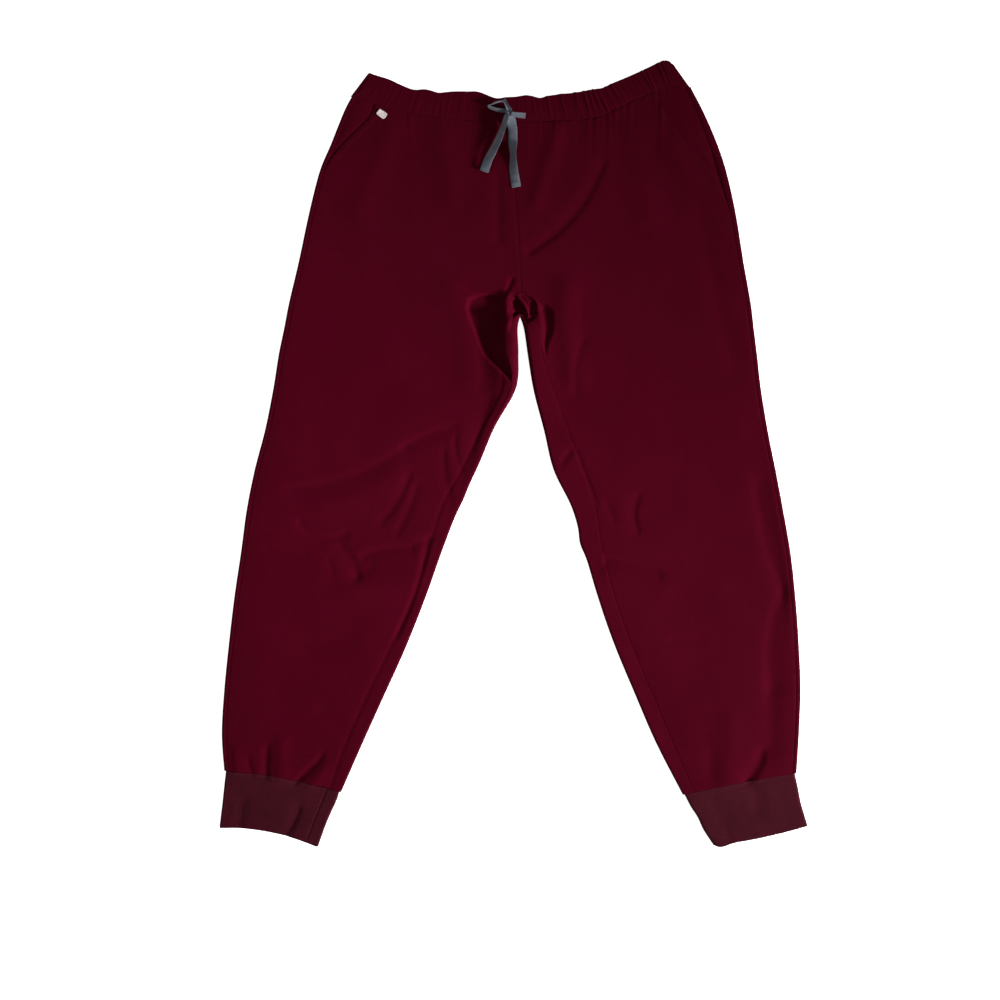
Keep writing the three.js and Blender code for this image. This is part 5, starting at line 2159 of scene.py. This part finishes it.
    def build_knot(self, wardrobe: Wardrobe) -> bpy.types.Object:
        """Build the knot, a creased lump with the tape drawn over it."""
        around, up = 44, 24
        angle = np.linspace(0, math.tau, around + 1)[None, :]
        rise = np.linspace(-0.46 * math.pi, 0.46 * math.pi, up)[:, None]
        crease = 1 + 0.07 * np.cos(5 * angle + 2 * rise) + 0.04 * np.cos(9 * angle - rise)
        size = np.array(self.knot_size) * MM
        points = np.stack(
            [
                np.cos(angle) * np.cos(rise) * crease,
                np.sin(angle) * np.cos(rise) * crease,
                np.sin(rise) * np.ones_like(angle),
            ],
            axis=-1,
        )
        points[:, -1] = points[:, 0]
        centre = np.array(self.knot_centre) * MM
        lump = Wall(centre + points * size, centre + points * size * self.knot_inside)
        table = self.strap
        place = np.linspace(0, table.last, self.strap_steps)
        path = np.stack([table.at(name, place) for name in ("x", "y", "lift")], axis=-1)
        ahead = unit(path[-1, :2] - path[0, :2])
        across = np.tile(np.array([-ahead[1], ahead[0], 0.0]), (len(path), 1))
        strap = Ribbon(path, across, table.at("width", place), cup=self.strap_cup)
        return self.dressed("drawstring_knot", [lump, strap.wall()], wardrobe)

    def build(self, wardrobe: Wardrobe) -> None:
        """Build the whole bow."""
        knot = self.build_knot(wardrobe)
        short_loop = self.build_short_loop(wardrobe)
        short_tail = self.build_short_tail(wardrobe)
        self.build_long_loop(wardrobe)
        self.build_long_tail(wardrobe)


@dataclass
class EdgePatch:
    """The small plain oblong sewn by the right pocket."""

    panel: FrontPanel
    x: float = -163 * MM
    y: float = 423 * MM
    length: float = 12.5 * MM
    height: float = 8.5 * MM
    turn: float = -0.62
    wall: float = 0.7 * MM
    corner: float = 5.0
    border_height: float = 0.22 * MM
    border_width: float = 1.5 * MM
    edge_round: float = 0.8 * MM
    columns: int = 40
    rows: int = 26

    def build(self, wardrobe: Wardrobe) -> bpy.types.Object:
        """Build the oblong from the points of the cloth below it, moved out.

        Args:
            wardrobe: The finishes.

        Returns:
            The oblong.
        """
        across = np.linspace(-1, 1, self.columns)[None, :]
        along = np.linspace(-1, 1, self.rows)[:, None]
        across, along = np.broadcast_arrays(across, along)
        full = (np.abs(across) ** self.corner + np.abs(along) ** self.corner) ** (1 / self.corner)
        inset = np.maximum(np.abs(across), np.abs(along)) / np.maximum(full, 1e-9)
        local = np.stack([across * inset * self.length / 2, along * inset * self.height / 2], axis=-1)
        ahead, aside = math.cos(self.turn), math.sin(self.turn)
        spin = np.array([[ahead, aside], [-aside, ahead]])
        plan = local @ spin + np.array([self.x, self.y])
        distance = (1 - np.maximum(np.abs(across), np.abs(along))) * self.height / 2
        border = self.border_height * smooth((self.border_width - distance) / (0.5 * MM))
        top = self.panel.drape.top(plan) + self.panel.gathers.below_band(plan)
        top = top.max() * 0.5 + top * 0.5 + self.panel.hem_height + SEAM_GAP + self.wall + border
        wall = soften(level_wall(raised(plan, top), self.wall), distance, self.edge_round)
        piece = wardrobe.dress(closed_mesh("patch_weave", [wall]), wardrobe.pale)
        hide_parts("patch")
        return piece


@dataclass(frozen=True)
class Lamp:
    """A soft square light."""

    name: str
    place: tuple[float, float, float]
    aim: tuple[float, float, float]
    size: float
    power: float
    spread: float


@dataclass
class Studio:
    """The floor, the soft lights and the camera straight above."""

    middle: tuple[float, float] = (-0.0159, -0.0575)
    distance: float = 1.736
    lens: float = 50.0
    sensor: float = 36.0
    floor_half: float = 3.0
    floor_points: int = 12
    floor_drop: float = 0.2 * MM
    sky: float = 0.42
    lamps: tuple[Lamp, ...] = (
        Lamp("key", (4.4, -1.85, 1.86), (-0.11, -0.11, 0.0), 0.95, 15.6, 18.0),
        Lamp("fill", (-1.3, -0.4, 1.6), (0.0, -0.1, 0.0), 1.2, 2.0, 120.0),
    )

    def build_floor(self) -> None:
        """Build the floor, slightly below the underside of the cloth."""
        half, steps = self.floor_half, self.floor_points
        mesh = bpy.data.meshes.new("floor")
        line = np.linspace(-half, half, steps)
        across, along = np.meshgrid(line, line)
        points = np.stack([across, along, np.full_like(across, -self.floor_drop)], axis=-1).reshape(-1, 3)
        grid = np.arange(steps * steps).reshape(steps, steps)
        corners = (grid[:-1, :-1], grid[:-1, 1:], grid[1:, 1:], grid[1:, :-1])
        mesh.from_pydata(points.tolist(), [], np.stack(corners, axis=-1).reshape(-1, 4).tolist())
        floor = bpy.data.objects.new("floor", mesh)
        bpy.context.scene.collection.objects.link(floor)
        floor.data.materials.append(PaleFloor().make())

    def build_lights(self) -> None:
        """Build the lights and the pale surroundings."""
        for lamp in self.lamps:
            light = bpy.data.lights.new(lamp.name, "AREA")
            light.size = lamp.size
            light.energy = lamp.power
            light.spread = math.radians(lamp.spread)
            made = bpy.data.objects.new(lamp.name, light)
            made.location = lamp.place
            aim = Vector(lamp.aim) - Vector(lamp.place)
            made.rotation_euler = aim.to_track_quat("-Z", "Y").to_euler()
            bpy.context.scene.collection.objects.link(made)
        world = bpy.data.worlds.new("surroundings")
        world.use_nodes = True
        background = world.node_tree.nodes["Background"]
        background.inputs["Color"].default_value = (1.0, 1.0, 1.0, 1.0)
        background.inputs["Strength"].default_value = self.sky
        bpy.context.scene.world = world

    def build_camera(self) -> None:
        """Build the camera, which looks straight down."""
        camera = bpy.data.cameras.new("camera")
        camera.lens = self.lens
        camera.sensor_width = self.sensor
        made = bpy.data.objects.new("camera", camera)
        made.location = (*self.middle, self.distance)
        bpy.context.scene.collection.objects.link(made)
        bpy.context.scene.camera = made

    def build(self) -> None:
        """Build the whole studio."""
        self.build_floor()
        self.build_lights()
        self.build_camera()
        bpy.context.scene.view_settings.view_transform = "Standard"


def main() -> None:
    """Build the studio and then the trousers, piece by piece."""
    Studio().build()
    wardrobe = Wardrobe()
    drape = Drape()
    gathers = Gathers()
    Drawstring(drape).build(wardrobe)
    for leg in (RIGHT_LEG, LEFT_LEG):
        BackPanel(leg, drape, gathers).build(wardrobe)
        PocketFacing(leg, drape, gathers).build(wardrobe)
        panel = FrontPanel(leg, drape, gathers)
        panel.build(wardrobe)
        Cuff(leg, drape).build(wardrobe)
        if leg.side is Side.RIGHT:
            EdgePatch(panel).build(wardrobe)
    band = Waistband(gathers)
    band.build_back(wardrobe)
    band.build_front(wardrobe)


if __name__ == "__main__":
    logging.basicConfig(level=logging.INFO, format="%(message)s")
    main()
